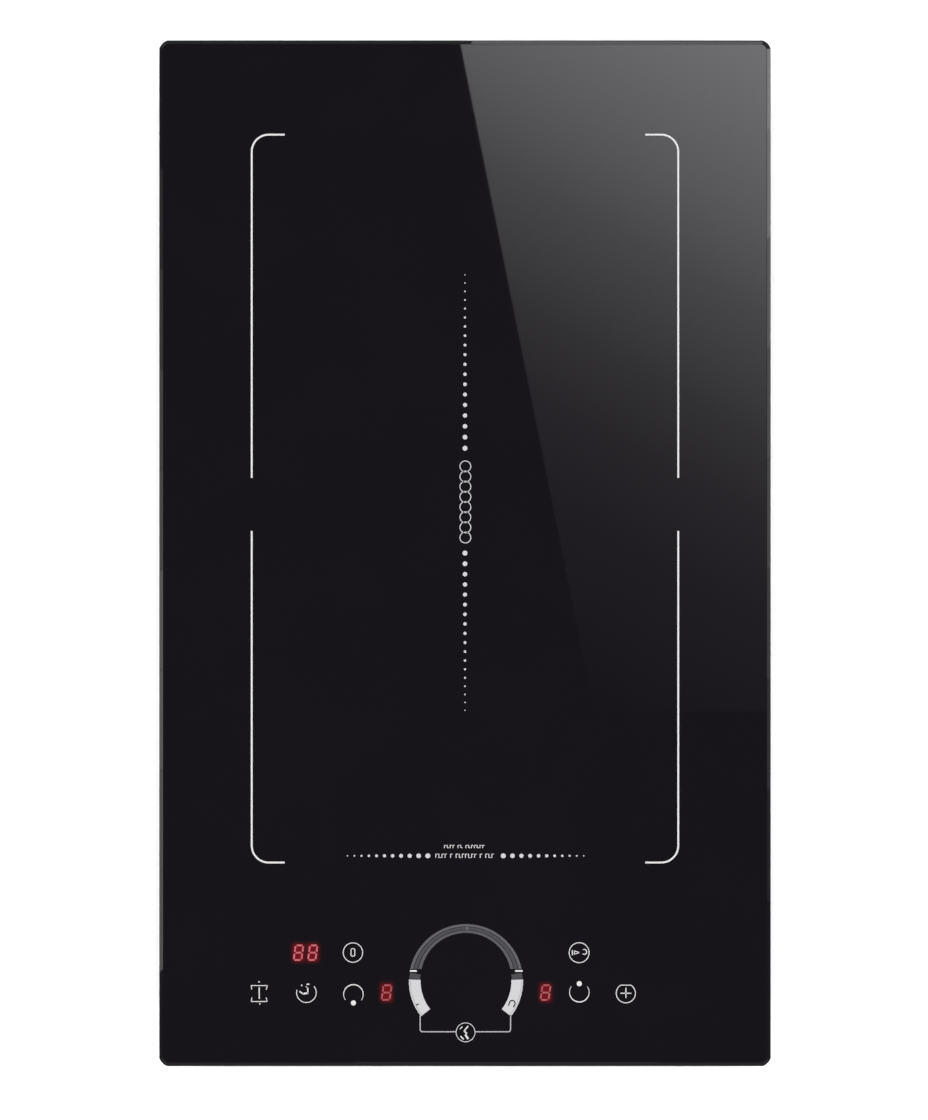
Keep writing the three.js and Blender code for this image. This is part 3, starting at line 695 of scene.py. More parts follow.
@dataclass(frozen=True)
class Finish:
    """A finish of one colour with a texture.

    Attributes:
        name: what the finish is called.
        slot: the record's material slot that it belongs to.
        colour: its mean colour, linear.
        roughness: its mean roughness.
        texture: its texture.
        grain: the size of the texture, in millimetres.
        relief: the depth of the texture, in millimetres.
        metallic: 1 for bare metal.
        variation: how much its colour varies, as a share.
    """

    name: str
    slot: str
    colour: Colour
    roughness: float
    texture: Texture = Texture.MOULDED
    grain: float = 0.4
    relief: float = 0.02
    metallic: float = 0.0
    variation: float = 0.12

    def material(self) -> bpy.types.Material:
        """Returns the finish's material, made at its first use."""
        found = bpy.data.materials.get(self.name)
        return found or self.make()

    def make(self) -> bpy.types.Material:
        """Returns a new material with the finish's colour, roughness and relief."""
        nodes = Nodes(self.name)
        place = nodes.place()
        pattern = self.pattern(nodes, place)
        clouds = nodes.noise(place, 18, 2)
        tone = nodes.math("MULTIPLY_ADD", pattern, 0.65, nodes.math("MULTIPLY", clouds, 0.35))
        dark = tuple(channel * (1 - self.variation) for channel in self.colour)
        light = tuple(min(channel * (1 + self.variation), 1.0) for channel in self.colour)
        nodes.say(
            Base_Color=nodes.ramp(tone, [(0.25, dark), (0.75, light)]),
            Roughness=nodes.between(tone, self.roughness * 0.85, min(self.roughness * 1.15, 1.0)),
            Metallic=self.metallic,
        )
        nodes.bump(pattern, self.relief)
        return nodes.material

    def pattern(self, nodes: Nodes, place: Socket) -> Socket:
        """The texture's own pattern, from 0 to 1.

        Args:
            nodes: the tree to build it in.
            place: object coordinates.

        Returns:
            The pattern's socket.
        """
        match self.texture:
            case Texture.BRUSHED:
                return nodes.noise(nodes.place((0.03, 1, 1)), self.grain, 4)
            case Texture.SPANGLE:
                crystal = nodes.add("ShaderNodeSeparateColor", {"Color": nodes.cells(place, self.grain)})
                grit = nodes.math("MULTIPLY", nodes.noise(place, 0.8, 3), 0.35)
                return nodes.math("MULTIPLY_ADD", crystal.outputs[0], 0.65, grit)
            case Texture.PLATED:
                return nodes.noise(place, self.grain * 6, 5)
            case Texture.FLAKE:
                return nodes.cells(nodes.place((1, 1.4, 1)), self.grain, "Distance", "SMOOTH_F1")
            case Texture.FOAM:
                return nodes.cells(place, self.grain, "Distance")
            case Texture.STRANDS:
                return nodes.wave(nodes.place((self.grain, 0.02, 1), "UV"), 1, "DIAGONAL", 0.4)
            case Texture.WEAVE:
                over = nodes.wave(nodes.place(), self.grain, "DIAGONAL")
                under = nodes.wave(nodes.place((1, -1, 1)), self.grain, "DIAGONAL")
                return nodes.math("MAXIMUM", over, under)
            case Texture.TRACES:
                inputs = {"Vector": place, "Scale": 1 / (self.grain * MM)}
                inputs |= {"Mortar Size": 0.06, "Mortar Smooth": 0.3}
                return nodes.add("ShaderNodeTexBrick", inputs).outputs["Fac"]
            case Texture.RIBS:
                return nodes.wave(place, self.grain, "X")
            case _:
                return nodes.noise(place, self.grain, 3)


BLACK_PLASTIC = Finish("black_plastic", "black_plastic", (0.012, 0.012, 0.013), 0.5, grain=0.5, relief=0.03)
WHITE_PLASTIC = Finish(
    "white_plastic", "white_plastic", (0.68, 0.69, 0.66), 0.42, grain=0.6, relief=0.015, variation=0.04
)
FORMER_PLASTIC = Finish(
    "former_plastic", "former_plastic", (0.56, 0.52, 0.43), 0.5, grain=0.7, relief=0.02, variation=0.06
)
GALVANISED = Finish(
    "galvanised_steel", "galvanised_steel", (0.4, 0.415, 0.43), 0.36, Texture.SPANGLE, 7, 0.006, 1.0, 0.22
)
ZINC = Finish("zinc_plate", "zinc_steel", (0.5, 0.51, 0.53), 0.3, Texture.PLATED, 1.5, 0.004, 1.0, 0.1)
FRAME_STEEL = Finish(
    "frame_steel", "frame_steel", (0.42, 0.43, 0.44), 0.38, Texture.BRUSHED, 0.5, 0.004, 1.0, 0.1
)
SPRING_STEEL = Finish(
    "spring_steel", "spring_steel", (0.58, 0.57, 0.55), 0.25, Texture.BRUSHED, 0.3, 0.003, 1.0, 0.08
)
ALUMINIUM = Finish("aluminium", "aluminium", (0.62, 0.63, 0.64), 0.35, Texture.BRUSHED, 0.4, 0.005, 1.0, 0.09)
COPPER = Finish("stranded_copper", "copper", (0.62, 0.24, 0.11), 0.35, Texture.STRANDS, 3.0, 0.12, 0.9, 0.3)
MICA = Finish("mica", "mica", (0.45, 0.41, 0.33), 0.7, Texture.FLAKE, 2.4, 0.06, 0.0, 0.18)
FERRITE = Finish("ferrite", "component_black", (0.045, 0.046, 0.05), 0.5, Texture.PLATED, 0.5, 0.01, 0.2, 0.2)
SILICONE = Finish("sensor_silicone", "sensor_silicone", (0.64, 0.61, 0.54), 0.55, grain=0.8, relief=0.01)
SLEEVE = Finish("braided_sleeve", "lead_sleeve", (0.4, 0.1, 0.035), 0.7, Texture.WEAVE, 0.9, 0.12, 0.0, 0.35)
BOARD_GREEN = Finish(
    "board_lacquer", "circuit_board", (0.012, 0.085, 0.035), 0.3, Texture.TRACES, 9, 0.03, 0.0, 0.35
)
EPOXY = Finish("black_epoxy", "component_black", (0.013, 0.013, 0.015), 0.35, grain=0.3, relief=0.01)
CAPACITOR = Finish(
    "capacitor_case", "capacitor_case", (0.3, 0.33, 0.35), 0.4, grain=0.5, relief=0.01, variation=0.05
)
RUBBER = Finish("gland_rubber", "gland_rubber", (0.012, 0.012, 0.013), 0.7, grain=0.5, relief=0.03)
FOAM = Finish("seal_foam", "seal_foam", (0.014, 0.014, 0.015), 0.9, Texture.FOAM, 0.5, 0.12, 0.0, 0.3)
RIBBON = Finish("ribbon_sheath", "ribbon", (0.36, 0.36, 0.35), 0.45, Texture.RIBS, 1.27, 0.25, 0.0, 0.1)
GUIDE = Finish(
    "light_guide", "light_guide", (0.62, 0.65, 0.67), 0.12, grain=1.5, relief=0.004, variation=0.03
)
SMOKED = Finish("smoked_window", "display_red", (0.02, 0.004, 0.005), 0.12, grain=1.5, relief=0.003)
ENAMELLED = Finish(
    "enamelled_copper", "copper", (0.5, 0.16, 0.06), 0.28, Texture.PLATED, 0.6, 0.01, 0.9, 0.15
)
CAN_SLEEVE = Finish("can_sleeve", "component_black", (0.016, 0.02, 0.04), 0.3, grain=0.6, relief=0.006)
PRINT_WHITE = Finish(
    "white_print", "ceramic_glass", (0.46, 0.46, 0.46), 0.45, grain=0.35, relief=0.004, variation=0.05
)
PRINT_PALE = Finish(
    "pale_print", "ceramic_glass", (0.37, 0.37, 0.38), 0.45, grain=0.5, relief=0.004, variation=0.06
)
PRINT_LINE = Finish("grey_line_print", "ceramic_glass", (0.3, 0.28, 0.3), 0.45, grain=0.35, relief=0.004)
PRINT_OUTER = Finish(
    "scale_print_outer", "ceramic_glass", (0.058, 0.057, 0.062), 0.4, grain=0.8, relief=0.003
)
PRINT_MIDDLE = Finish(
    "scale_print_middle", "ceramic_glass", (0.034, 0.033, 0.038), 0.4, grain=0.8, relief=0.003
)
PRINT_INNER = Finish("scale_print_inner", "ceramic_glass", (0.05, 0.049, 0.054), 0.4, grain=0.8, relief=0.003)
PRINT_BLACK = Finish("black_print", "ceramic_glass", (0.0015, 0.0015, 0.0018), 0.35, grain=0.8, relief=0.003)

NODE_FINISHES = {
    finish.slot: finish
    for finish in (
        EPOXY, BLACK_PLASTIC, WHITE_PLASTIC, FORMER_PLASTIC, GALVANISED, ZINC, FRAME_STEEL, SPRING_STEEL,
        ALUMINIUM, COPPER, MICA, SILICONE, SLEEVE, BOARD_GREEN, CAPACITOR, RUBBER, FOAM, RIBBON, GUIDE,
        SMOKED,
    )
}


def fitted(thing: Thing, finish: Finish, *stands_for: str, body: str = "casing") -> None:
    """Dresses a piece, and says what it moves with and which CAD nodes it stands for.

    Args:
        thing: the piece.
        finish: its finish.
        *stands_for: the CAD nodes that it replaces.
        body: the CAD body that it rides on.
    """
    if not any(thing.data.materials):
        thing.data.materials.clear()
        thing.data.materials.append(finish.material())
    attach(thing, body)
    if stands_for:
        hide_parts(*stands_for)
    LOG.info("%s: %d faces on %s", thing.name, len(thing.data.polygons), body)


def refined(node: Thing, name: str, edge: float, segments: int) -> Thing:
    """A CAD node's shape with its triangles merged into faces and its edges rounded.

    Args:
        node: the CAD node.
        name: the new object's name.
        edge: the radius of its edges.
        segments: how many steps an edge has.

    Returns:
        The new object.
    """
    copy = bpy.data.objects.new(name, node.data.copy())
    bpy.context.scene.collection.objects.link(copy)
    copy.data.name = name
    copy.data.materials.clear()
    mend(copy, 0.005)
    with editing(copy, "SELECT"):
        bpy.ops.mesh.dissolve_limited(angle_limit=math.radians(1))
    rounded(copy, edge, segments, 50)
    return flat_smooth(copy)


@dataclass(frozen=True)
class Remade:
    """A CAD node's shape made again with rounded edges.

    Attributes:
        node: the CAD node.
        name: what the piece is called.
        finish: its finish.
        edge: the radius of its edges.
        segments: how many steps an edge has.
        body: the CAD body that it rides on.
    """

    node: str
    name: str
    finish: Finish
    edge: float
    segments: int = 2
    body: str = "casing"

    def build(self, nodes: dict[str, Thing]) -> None:
        """Makes the piece."""
        piece = refined(nodes[self.node], self.name, self.edge, self.segments)
        fitted(piece, self.finish, self.node, body=self.body)


# ---------------------------------------------------------------- glass, its print and its lights


@dataclass(frozen=True)
class Halo:
    """A painted red glow of display light around lit digits, as a rectangle with soft edges.

    Attributes:
        at: its middle.
        half: half its width and depth.
    """

    at: Place
    half: Place


@dataclass(frozen=True)
class GlassCeramic:
    """Black glass ceramic that lets the red of its displays through.

    Attributes:
        halos: where the displays shine through.
        top: the height of the glass's surface.
        fade: how far their light spreads.
    """

    halos: tuple[Halo, ...]
    top: float
    fade: float = 1.55

    def material(self) -> bpy.types.Material:
        """Returns the glass's material."""
        nodes = Nodes("glass_ceramic")
        place = nodes.place()
        smear = nodes.noise(place, 60, 4)
        # The red emission is a painted glow: the displays' light, painted on the glass around each digit.
        nodes.say(
            Base_Color=nodes.ramp(smear, [(0.0, (0.0016, 0.0012, 0.0019)), (1.0, (0.0026, 0.0019, 0.0028))]),
            Roughness=nodes.between(smear, 0.008, 0.016),
            IOR=1.52,
            Emission_Color=(1.0, 0.0, 0.012, 1.0),
            Emission_Strength=nodes.math("MULTIPLY", self.shine(nodes, place), 0.16),
        )
        return nodes.material

    def shine(self, nodes: Nodes, place: Socket) -> Socket:
        """How strong the painted glow of display light on the glass is, from 0 to 1.

        Args:
            nodes: the tree to build it in.
            place: object coordinates.

        Returns:
            The light's socket.
        """
        fields = []
        for halo in self.halos:
            side = nodes.vector("ABSOLUTE", nodes.vector("SUBTRACT", place, metres(*halo.at, self.top)))
            past = nodes.vector("SUBTRACT", side, metres(*halo.half, 1))
            gap = nodes.vector("LENGTH", nodes.vector("MAXIMUM", past, (0, 0, 0)), output="Value")
            steps = nodes.math("DIVIDE", gap, self.fade * MM)
            fields.append(nodes.math("EXPONENT", nodes.math("MULTIPLY", nodes.math("POWER", steps, 2), -1.0)))
        return nodes.sum_of(*fields)


@dataclass(frozen=True)
class LedLight:
    """The red of a lit segment, brightest where the light behind it is.

    Attributes:
        name: what the light is called.
        strength: how bright it is.
    """

    name: str
    strength: float

    def material(self) -> bpy.types.Material:
        """Returns the light's material."""
        nodes = Nodes(self.name)
        patches = nodes.noise(nodes.place(), 1.6, 1)
        nodes.say(
            Base_Color=(0.05, 0.004, 0.006, 1.0),
            Roughness=0.4,
            Emission_Color=nodes.ramp(patches, [(0.3, (1.0, 0.2, 0.24)), (0.7, (1.0, 0.36, 0.4))]),
            Emission_Strength=nodes.between(patches, self.strength * 0.8, self.strength * 1.15),
        )
        return nodes.material


@dataclass
class GlassPlate:
    """The glass plate with its ground and polished edges.

    Attributes:
        halos: where the displays shine through.
        corner: the radius of the plate's corners.
        corner_shape: how full the corners are, with 0.5 for a quarter circle.
        bevel: the width of the ground edge.
        drop: its depth.
        arris: the chamfer along the underside.
    """

    halos: tuple[Halo, ...]
    corner: float = 4.3
    corner_shape: float = 0.4
    bevel: float = 2.15
    drop: float = 1.43
    arris: float = 0.4

    def build(self) -> None:
        """Makes the plate: a slab with rounded corners, its top inset and its outer rim lowered."""
        low, high = span("glass_panel")
        plate = block("glass_plate", tuple(low), tuple(high))
        with editing(plate):
            bevel_edges(upright, self.corner, 10, profile=self.corner_shape)
            pick_faces(looks_up)
            bpy.ops.mesh.inset(thickness=self.bevel * MM)
            self.pick_rim(high)
            bpy.ops.transform.translate(value=metres(0, 0, -self.drop))
            bevel_edges(lambda a, b: max(a.z, b.z) < low.z + 0.01, self.arris, 2)
        rounded(plate, 0.22, 3, 18)
        flat_smooth(plate, 30)
        plate.data.materials.append(GlassCeramic(self.halos, high.z).material())
        fitted(plate, Finish("glass_ceramic", "ceramic_glass", (0, 0, 0), 0), "glass_panel")

    def pick_rim(self, high: Vector) -> None:
        """Selects the edges of the slab's outer rim at its top.

        Args:
            high: the slab's highest corner.
        """

        def on_rim(point: Vector) -> bool:
            """Whether a point is nearer to the rim than to the inset."""
            past_x = max(abs(point.x) - high.x + self.corner, 0)
            past_y = max(abs(point.y) - high.y + self.corner, 0)
            return point.z > high.z - 0.01 and math.hypot(past_x, past_y) > self.corner - self.bevel / 2

        pick_edges(lambda a, b: on_rim(a) and on_rim(b))


@dataclass
class Printer:
    """Prints flat marks on the glass, each a thin layer of its own.

    Attributes:
        top: the height of the glass's surface.
        layer: the layer's thickness above it.
    """

    top: float
    layer: float = 0.03

    def bar(self, a: Place, b: Place, width: float) -> Thing:
        """A straight line with square ends.

        Args:
            a: where it starts.
            b: where it ends.
            width: its width.

        Returns:
            The line as a flat face.
        """
        length = math.dist(a, b)
        cleared()
        bpy.ops.mesh.primitive_plane_add(
            size=1,
            location=metres((a[0] + b[0]) / 2, (a[1] + b[1]) / 2, self.top),
            rotation=(0, 0, math.atan2(b[1] - a[1], b[0] - a[0])),
        )
        bpy.context.active_object.scale = (*metres(length, width), 1)
        return named("mark")

    def bars(self, at: Place, *rows: tuple[float, ...]) -> list[Thing]:
        """Straight lines around a place, each given by its start, its end and its width."""
        x, y = at
        return [self.bar((x + x0, y + y0), (x + x1, y + y1), width) for x0, y0, x1, y1, width in rows]

    def dot(self, at: Place, radius: float, sides: int = 24) -> Thing:
        """A round dot."""
        cleared()
        bpy.ops.mesh.primitive_circle_add(
            vertices=sides, radius=radius * MM, fill_type="NGON", location=metres(*at, self.top)
        )
        return named("mark")

    def ring(self, at: Place, radius: float, width: float) -> Thing:
        """A full circle drawn with a line."""
        return self.crescent(at, radius + width / 2, at, radius - width / 2)

    def crescent(self, at: Place, radius: float, hole: Place, hole_radius: float, sides: int = 96) -> Thing:
        """A disc with a round hole that may be off its middle: two circles, bridged.

        Args:
            at: the disc's middle.
            radius: the disc's radius.
            hole: the hole's middle.
            hole_radius: the hole's radius.
            sides: how many sides the circles have.

        Returns:
            The flat ring.
        """
        mark = self.dot(at, radius, sides)
        with editing(mark, "SELECT"):
            bpy.ops.mesh.delete(type="ONLY_FACE")
            bpy.ops.mesh.primitive_circle_add(
                vertices=sides, radius=hole_radius * MM, location=metres(*hole, self.top)
            )
            bpy.ops.mesh.select_mode(type="EDGE")
            bpy.ops.mesh.select_all(action="SELECT")
            bpy.ops.mesh.bridge_edge_loops()
        return mark

    def arc(self, at: Place, radius: float, width: float, start: float, sweep: float) -> Thing:
        """A part of a circle drawn with a line: a short stroke across the line, spun about the middle.

        Args:
            at: the circle's middle.
            radius: the radius of the line's middle.
            width: the line's width.
            start: where it starts, in degrees from +X.
            sweep: how far it goes, anticlockwise, in degrees.

        Returns:
            The flat arc.
        """
        angle = math.radians(start)
        way = (math.cos(angle), math.sin(angle))
        ends = [(at[0] + way[0] * r, at[1] + way[1] * r) for r in (radius - width / 2, radius + width / 2)]
        mark = self.bar(*ends, 0.02)
        steps = max(4, round(abs(sweep) / 5))
        with editing(mark):
            pick_edges(lambda a, b: self.leads(a, b, at, way))
            bpy.ops.mesh.spin(
                steps=steps, angle=-math.radians(sweep), center=metres(*at, self.top), axis=(0, 0, 1)
            )
        return mark

    @staticmethod
    def leads(a: Vector, b: Vector, at: Place, way: Place) -> bool:
        """Whether an edge is the leading side of a stroke that starts an arc."""

        def ahead(point: Vector) -> float:
            """How far a point is ahead of the stroke's middle."""
            return (point.y - at[1]) * way[0] - (point.x - at[0]) * way[1]

        return ahead(a) > 0.001 and ahead(b) > 0.001

    def kept(self, mark: Thing, at: Place, side: Place) -> Thing:
        """The part of a mark on one side of a line.

        Args:
            mark: the mark.
            at: a point on the line.
            side: the direction of the side that is kept.

        Returns:
            The same mark, cut off along the line.
        """
        with editing(mark, "SELECT"):
            bpy.ops.mesh.bisect(plane_co=metres(*at, self.top), plane_no=(*side, 0), clear_inner=True)
        return mark

    def laid(self, name: str, marks: Sequence[Thing], lift: float = 0.0) -> Thing:
        """Joins flat marks into one thin layer on the glass.

        Args:
            name: the piece's name.
            marks: its marks.
            lift: how far the layer rises above a first layer.

        Returns:
            The layer, closed and with its faces outwards.
        """
        piece = joined(name, marks)
        mend(piece)
        with editing(piece):
            pick_faces(lambda normal: normal.z < 0)
            bpy.ops.mesh.flip_normals()
        modified(piece, "SOLIDIFY", thickness=(self.layer + lift + 0.01) * MM, offset=1)
        with editing(piece, "SELECT"):
            bpy.ops.transform.translate(value=metres(0, 0, -0.01))
        return piece

    def printed(self, name: str, marks: Sequence[Thing], finish: Finish, lift: float = 0.0) -> Thing:
        """Prints marks as one piece in one ink."""
        return fitted(self.laid(name, marks, lift), finish)


@dataclass
class CookingZonePrint:
    """The printed cooking zone: corner brackets, two lines of dots and the marks between them.

    Attributes:
        printer: what prints the marks.
        half_width: from the centre line to a bracket's long line.
        back: the height of the rear brackets on the plate.
        front: that of the front brackets.
        arm: where the brackets' short arms end.
        corner: the radius of the brackets' corners.
        line: the lines' width.
        gap: where the long lines are broken.
    """

    printer: Printer
    half_width: float = 108.0
    back: float = 212.0
    front: float = -156.6
    arm: float = 91.3
    corner: float = 8.6
    line: float = 0.9
    gap: Place = (11.3, 38.2)

    def build(self) -> None:
        """Prints the brackets, the dots, the coil sign and the fine marks."""
        pen = self.printer
        brackets = [mark for side in (-1, 1) for mark in self.bracket(side)]
        pen.printed("zone_brackets", brackets, PRINT_WHITE)
        pen.printed("zone_dots", self.dots(), PRINT_PALE)
        pen.printed("zone_coil_sign", self.coil_sign(), PRINT_PALE)
        pen.printed("zone_fine_marks", self.fine_marks(), PRINT_WHITE)

    def bracket(self, side: int) -> list[Thing]:
        """The two brackets on one side.

        Args:
            side: 1 for the right and -1 for the left.

        Returns:
            Their marks.
        """
        pen, x, r = self.printer, side * self.half_width, self.corner
        marks = []
        for end, way, near in ((self.back, 1, self.gap[1]), (self.front, -1, self.gap[0])):
            turn = end - way * r
            marks.append(pen.bar((x, near), (x, turn), self.line))
            marks.append(pen.bar((side * self.arm, end), (side * (self.half_width - r), end), self.line))
            start = {(1, 1): 0, (-1, 1): 90, (-1, -1): 180, (1, -1): 270}[side, way]
            marks.append(pen.arc((side * (self.half_width - r), turn), r, self.line, start, 90))
        return marks

    @staticmethod
    def row(start: float, end: float, count: int, first: float, last: float) -> Iterator[tuple[float, float]]:
        """Places and radii of dots that get smaller and closer along a line.

        Args:
            start: the place of the first dot.
            end: the place of the last dot.
            count: how many dots there are.
            first: the first dot's diameter.
            last: the last dot's diameter.

        Yields:
            Each dot's place and radius.
        """
        for i in range(count):
            share = i / (count - 1)
            eased = share * (1.16 - 0.16 * share)
            yield start + (end - start) * eased, (first + (last - first) * share) / 2

    def dots(self) -> list[Thing]:
        """The centre line's dots and the front line's dots."""
        dot = self.printer.dot
        centre = [*self.row(53.2, 141.0, 19, 2.5, 0.55), *self.row(0.1, -79.5, 18, 2.5, 0.55)]
        marks = [dot((0, y), radius) for y, radius in centre]
        for side in (-1, 1):
            row = self.row(19.1, 59.8, 11, 2.5, 0.7)
            marks += [dot((0.3 + side * x, -153.2), radius) for x, radius in row]
        return marks

    def coil_sign(self) -> list[Thing]:
        """A plain sign for a coil along the centre line: a row of overlapping loops, finely drawn."""
        ring, loops, pitch = self.printer.ring, 8, 5.15
        first = 26.0 - pitch * (loops - 1) / 2
        return [ring((0.2, first + pitch * i), 2.75, 0.42) for i in range(loops)]

    def fine_marks(self) -> list[Thing]:
        """Two fine rows of strokes at the front of the zone, in groups."""
        upper = self.strokes(-10.4, -148.5, (4, 2, 7), 1.6, 1.14)
        lower = self.strokes(-14.8, -153.2, (4, 1, 7, 1, 3), 2.1, 1.25)
        return upper + lower

    def strokes(
        self, start: float, y: float, groups: Sequence[int], height: float, pitch: float
    ) -> list[Thing]:
        """Upright strokes in groups, with a dash across every second one.

        Args:
            start: where the first stroke stands.
            y: the row's middle.
            groups: how many strokes each group has.
            height: the strokes' height.
            pitch: from one stroke to the next.

        Returns:
            The strokes.
        """
        bar, x = self.printer.bar, start
        marks = []
        for count in groups:
            for i in range(count):
                marks.append(bar((x, y - height / 2), (x, y + height / 2), 0.36))
                level = y + (height / 2 - 0.2) * (-1 if i % 3 == 1 else 1)
                marks.append(bar((x, level), (x + pitch * 0.75, level), 0.34))
                x += pitch * 1.25
            x += pitch
        return marks


@dataclass
class SliderPrint:
    """The round slider: a grey scale above, two white ends below, and the key that they lead to.

    Attributes:
        printer: what prints the marks.
        at: the ring's middle.
        outer: the ring's outer radius.
        inner: its inner radius.
        inner_shift: how far the grey scale's inner circle lies above the outer one's middle.
        key: the middle of the round key.
        tick_y: the ticks' place in Y.
    """

    printer: Printer
    at: Place = (0.5, -216.7)
    outer: float = 28.9
    inner: float = 23.0
    inner_shift: float = 1.5
    key: Place = (0.3, -242.6)
    tick_y: float = -211.5

    def build(self) -> None:
        """Prints the scale, its ticks, the white ends and the key."""
        self.scale()
        self.ticks()
        self.ends()
        self.leads()

    def circle(self, share: float) -> tuple[Place, float]:
        """A circle between the scale's outer one, at share 0, and its inner one, at share 1."""
        shift = self.inner_shift * share
        return (self.at[0], self.at[1] + shift), self.outer + (self.inner - self.outer) * share

    def band(self, start: float, end: float) -> Thing:
        """A band of the grey scale between two shares of its width, cut off level with the ticks."""
        pen = self.printer
        outer, inner = self.circle(start), self.circle(end)
        return pen.kept(pen.crescent(*outer, *inner), (0, self.tick_y + 1.0), (0, 1))

    def scale(self) -> None:
        """Prints the grey scale in three tones, with a soft spot at its top."""
        pen = self.printer
        pen.printed("slider_scale_outer", [self.band(0.0, 0.27)], PRINT_OUTER)
        pen.printed("slider_scale_middle", [self.band(0.33, 0.66)], PRINT_MIDDLE)
        pen.printed("slider_scale_inner", [self.band(0.72, 1.0)], PRINT_INNER)
        top = (self.at[0] + 0.6, self.at[1] + self.outer - 2.2)
        pen.printed("slider_scale_spot", [pen.dot(top, 0.9)], PRINT_OUTER, 0.004)
        radius, width = (self.outer + self.inner) / 2, self.outer - self.inner
        feet = [pen.arc(self.at, radius, width - 0.5, start, 5.9) for start in (171.5, 2.6)]
        pen.printed("slider_scale_feet", feet, PRINT_MIDDLE)

    def ticks(self) -> None:
        """Prints a white tick with a black surround at each end of the scale."""
        pen, y = self.printer, self.tick_y
        spans = ((-27.9, -24.4), (25.4, 29.2))
        surrounds = [pen.bar((x0 - 0.5, y), (x1 + 0.5, y), 1.9) for x0, x1 in spans]
        pen.printed("slider_tick_surrounds", surrounds, PRINT_BLACK, 0.004)
        pen.printed("slider_ticks", [pen.bar((x0, y), (x1, y), 0.85) for x0, x1 in spans], PRINT_WHITE, 0.008)

    def ends(self) -> None:
        """Prints the two white ends with a fine dark line, a minus and a hook in them."""
        pen, x, y = self.printer, *self.at
        radius, width = (self.outer + self.inner) / 2, self.outer - self.inner
        white = [pen.arc(self.at, radius, width, 178.3, 39.6), pen.arc(self.at, radius, width, -37.9, 39.6)]
        pen.printed("slider_ends", white, PRINT_PALE)
        lines = [pen.arc(self.at, self.outer - 0.75, 0.14, start, 38) for start in (179.2, -37.0)]
        pen.printed("slider_end_lines", lines, PRINT_INNER, 0.004)
        marks = pen.bars(
            self.at,
            (-25.2, -12.1, -23.9, -11.5, 0.6),
            (24.6, -12.0, 24.0, -13.2, 0.6),
            (21.9, -11.2, 21.6, -12.4, 0.6),
        )
        marks.append(pen.arc((x + 23.4, y - 11.2), 1.45, 0.6, -35, 215))
        pen.printed("slider_end_marks", marks, PRINT_BLACK, 0.004)

    def leads(self) -> None:
        """Prints the lines from the ring's ends to the key, and the key with its bolt."""
        pen, (kx, ky) = self.printer, self.key
        floor, corner, line = ky + 0.3, 1.3, 0.52
        marks = []
        for side, x in ((-1, -22.7), (1, 23.1)):
            marks.append(pen.bar((x, -233.9), (x, floor + corner), line))
            start = 180 if side < 0 else 270
            marks.append(pen.arc((x - side * corner, floor + corner), corner, line, start, 90))
            marks.append(pen.bar((x - side * corner, floor), (kx + side * 4.9, floor), line))
        pen.printed("slider_lead_lines", marks, PRINT_LINE)
        bolt = pen.bars(
            self.key,
            (1.3, 3.2, -0.7, 0.7, 0.6),
            (-0.9, 0.5, 0.7, -0.3, 0.6),
            (0.5, -0.3, -0.1, -1.2, 0.7),
            (-0.1, -1.2, 1.3, -3.4, 1.0),
            (-2.9, 1.6, -1.6, 2.9, 0.45),
            (-2.6, -1.9, -1.0, -3.5, 0.6),
        )
        pen.printed("boost_key_print", [pen.ring(self.key, 4.78, 0.3), *bolt], PRINT_WHITE)


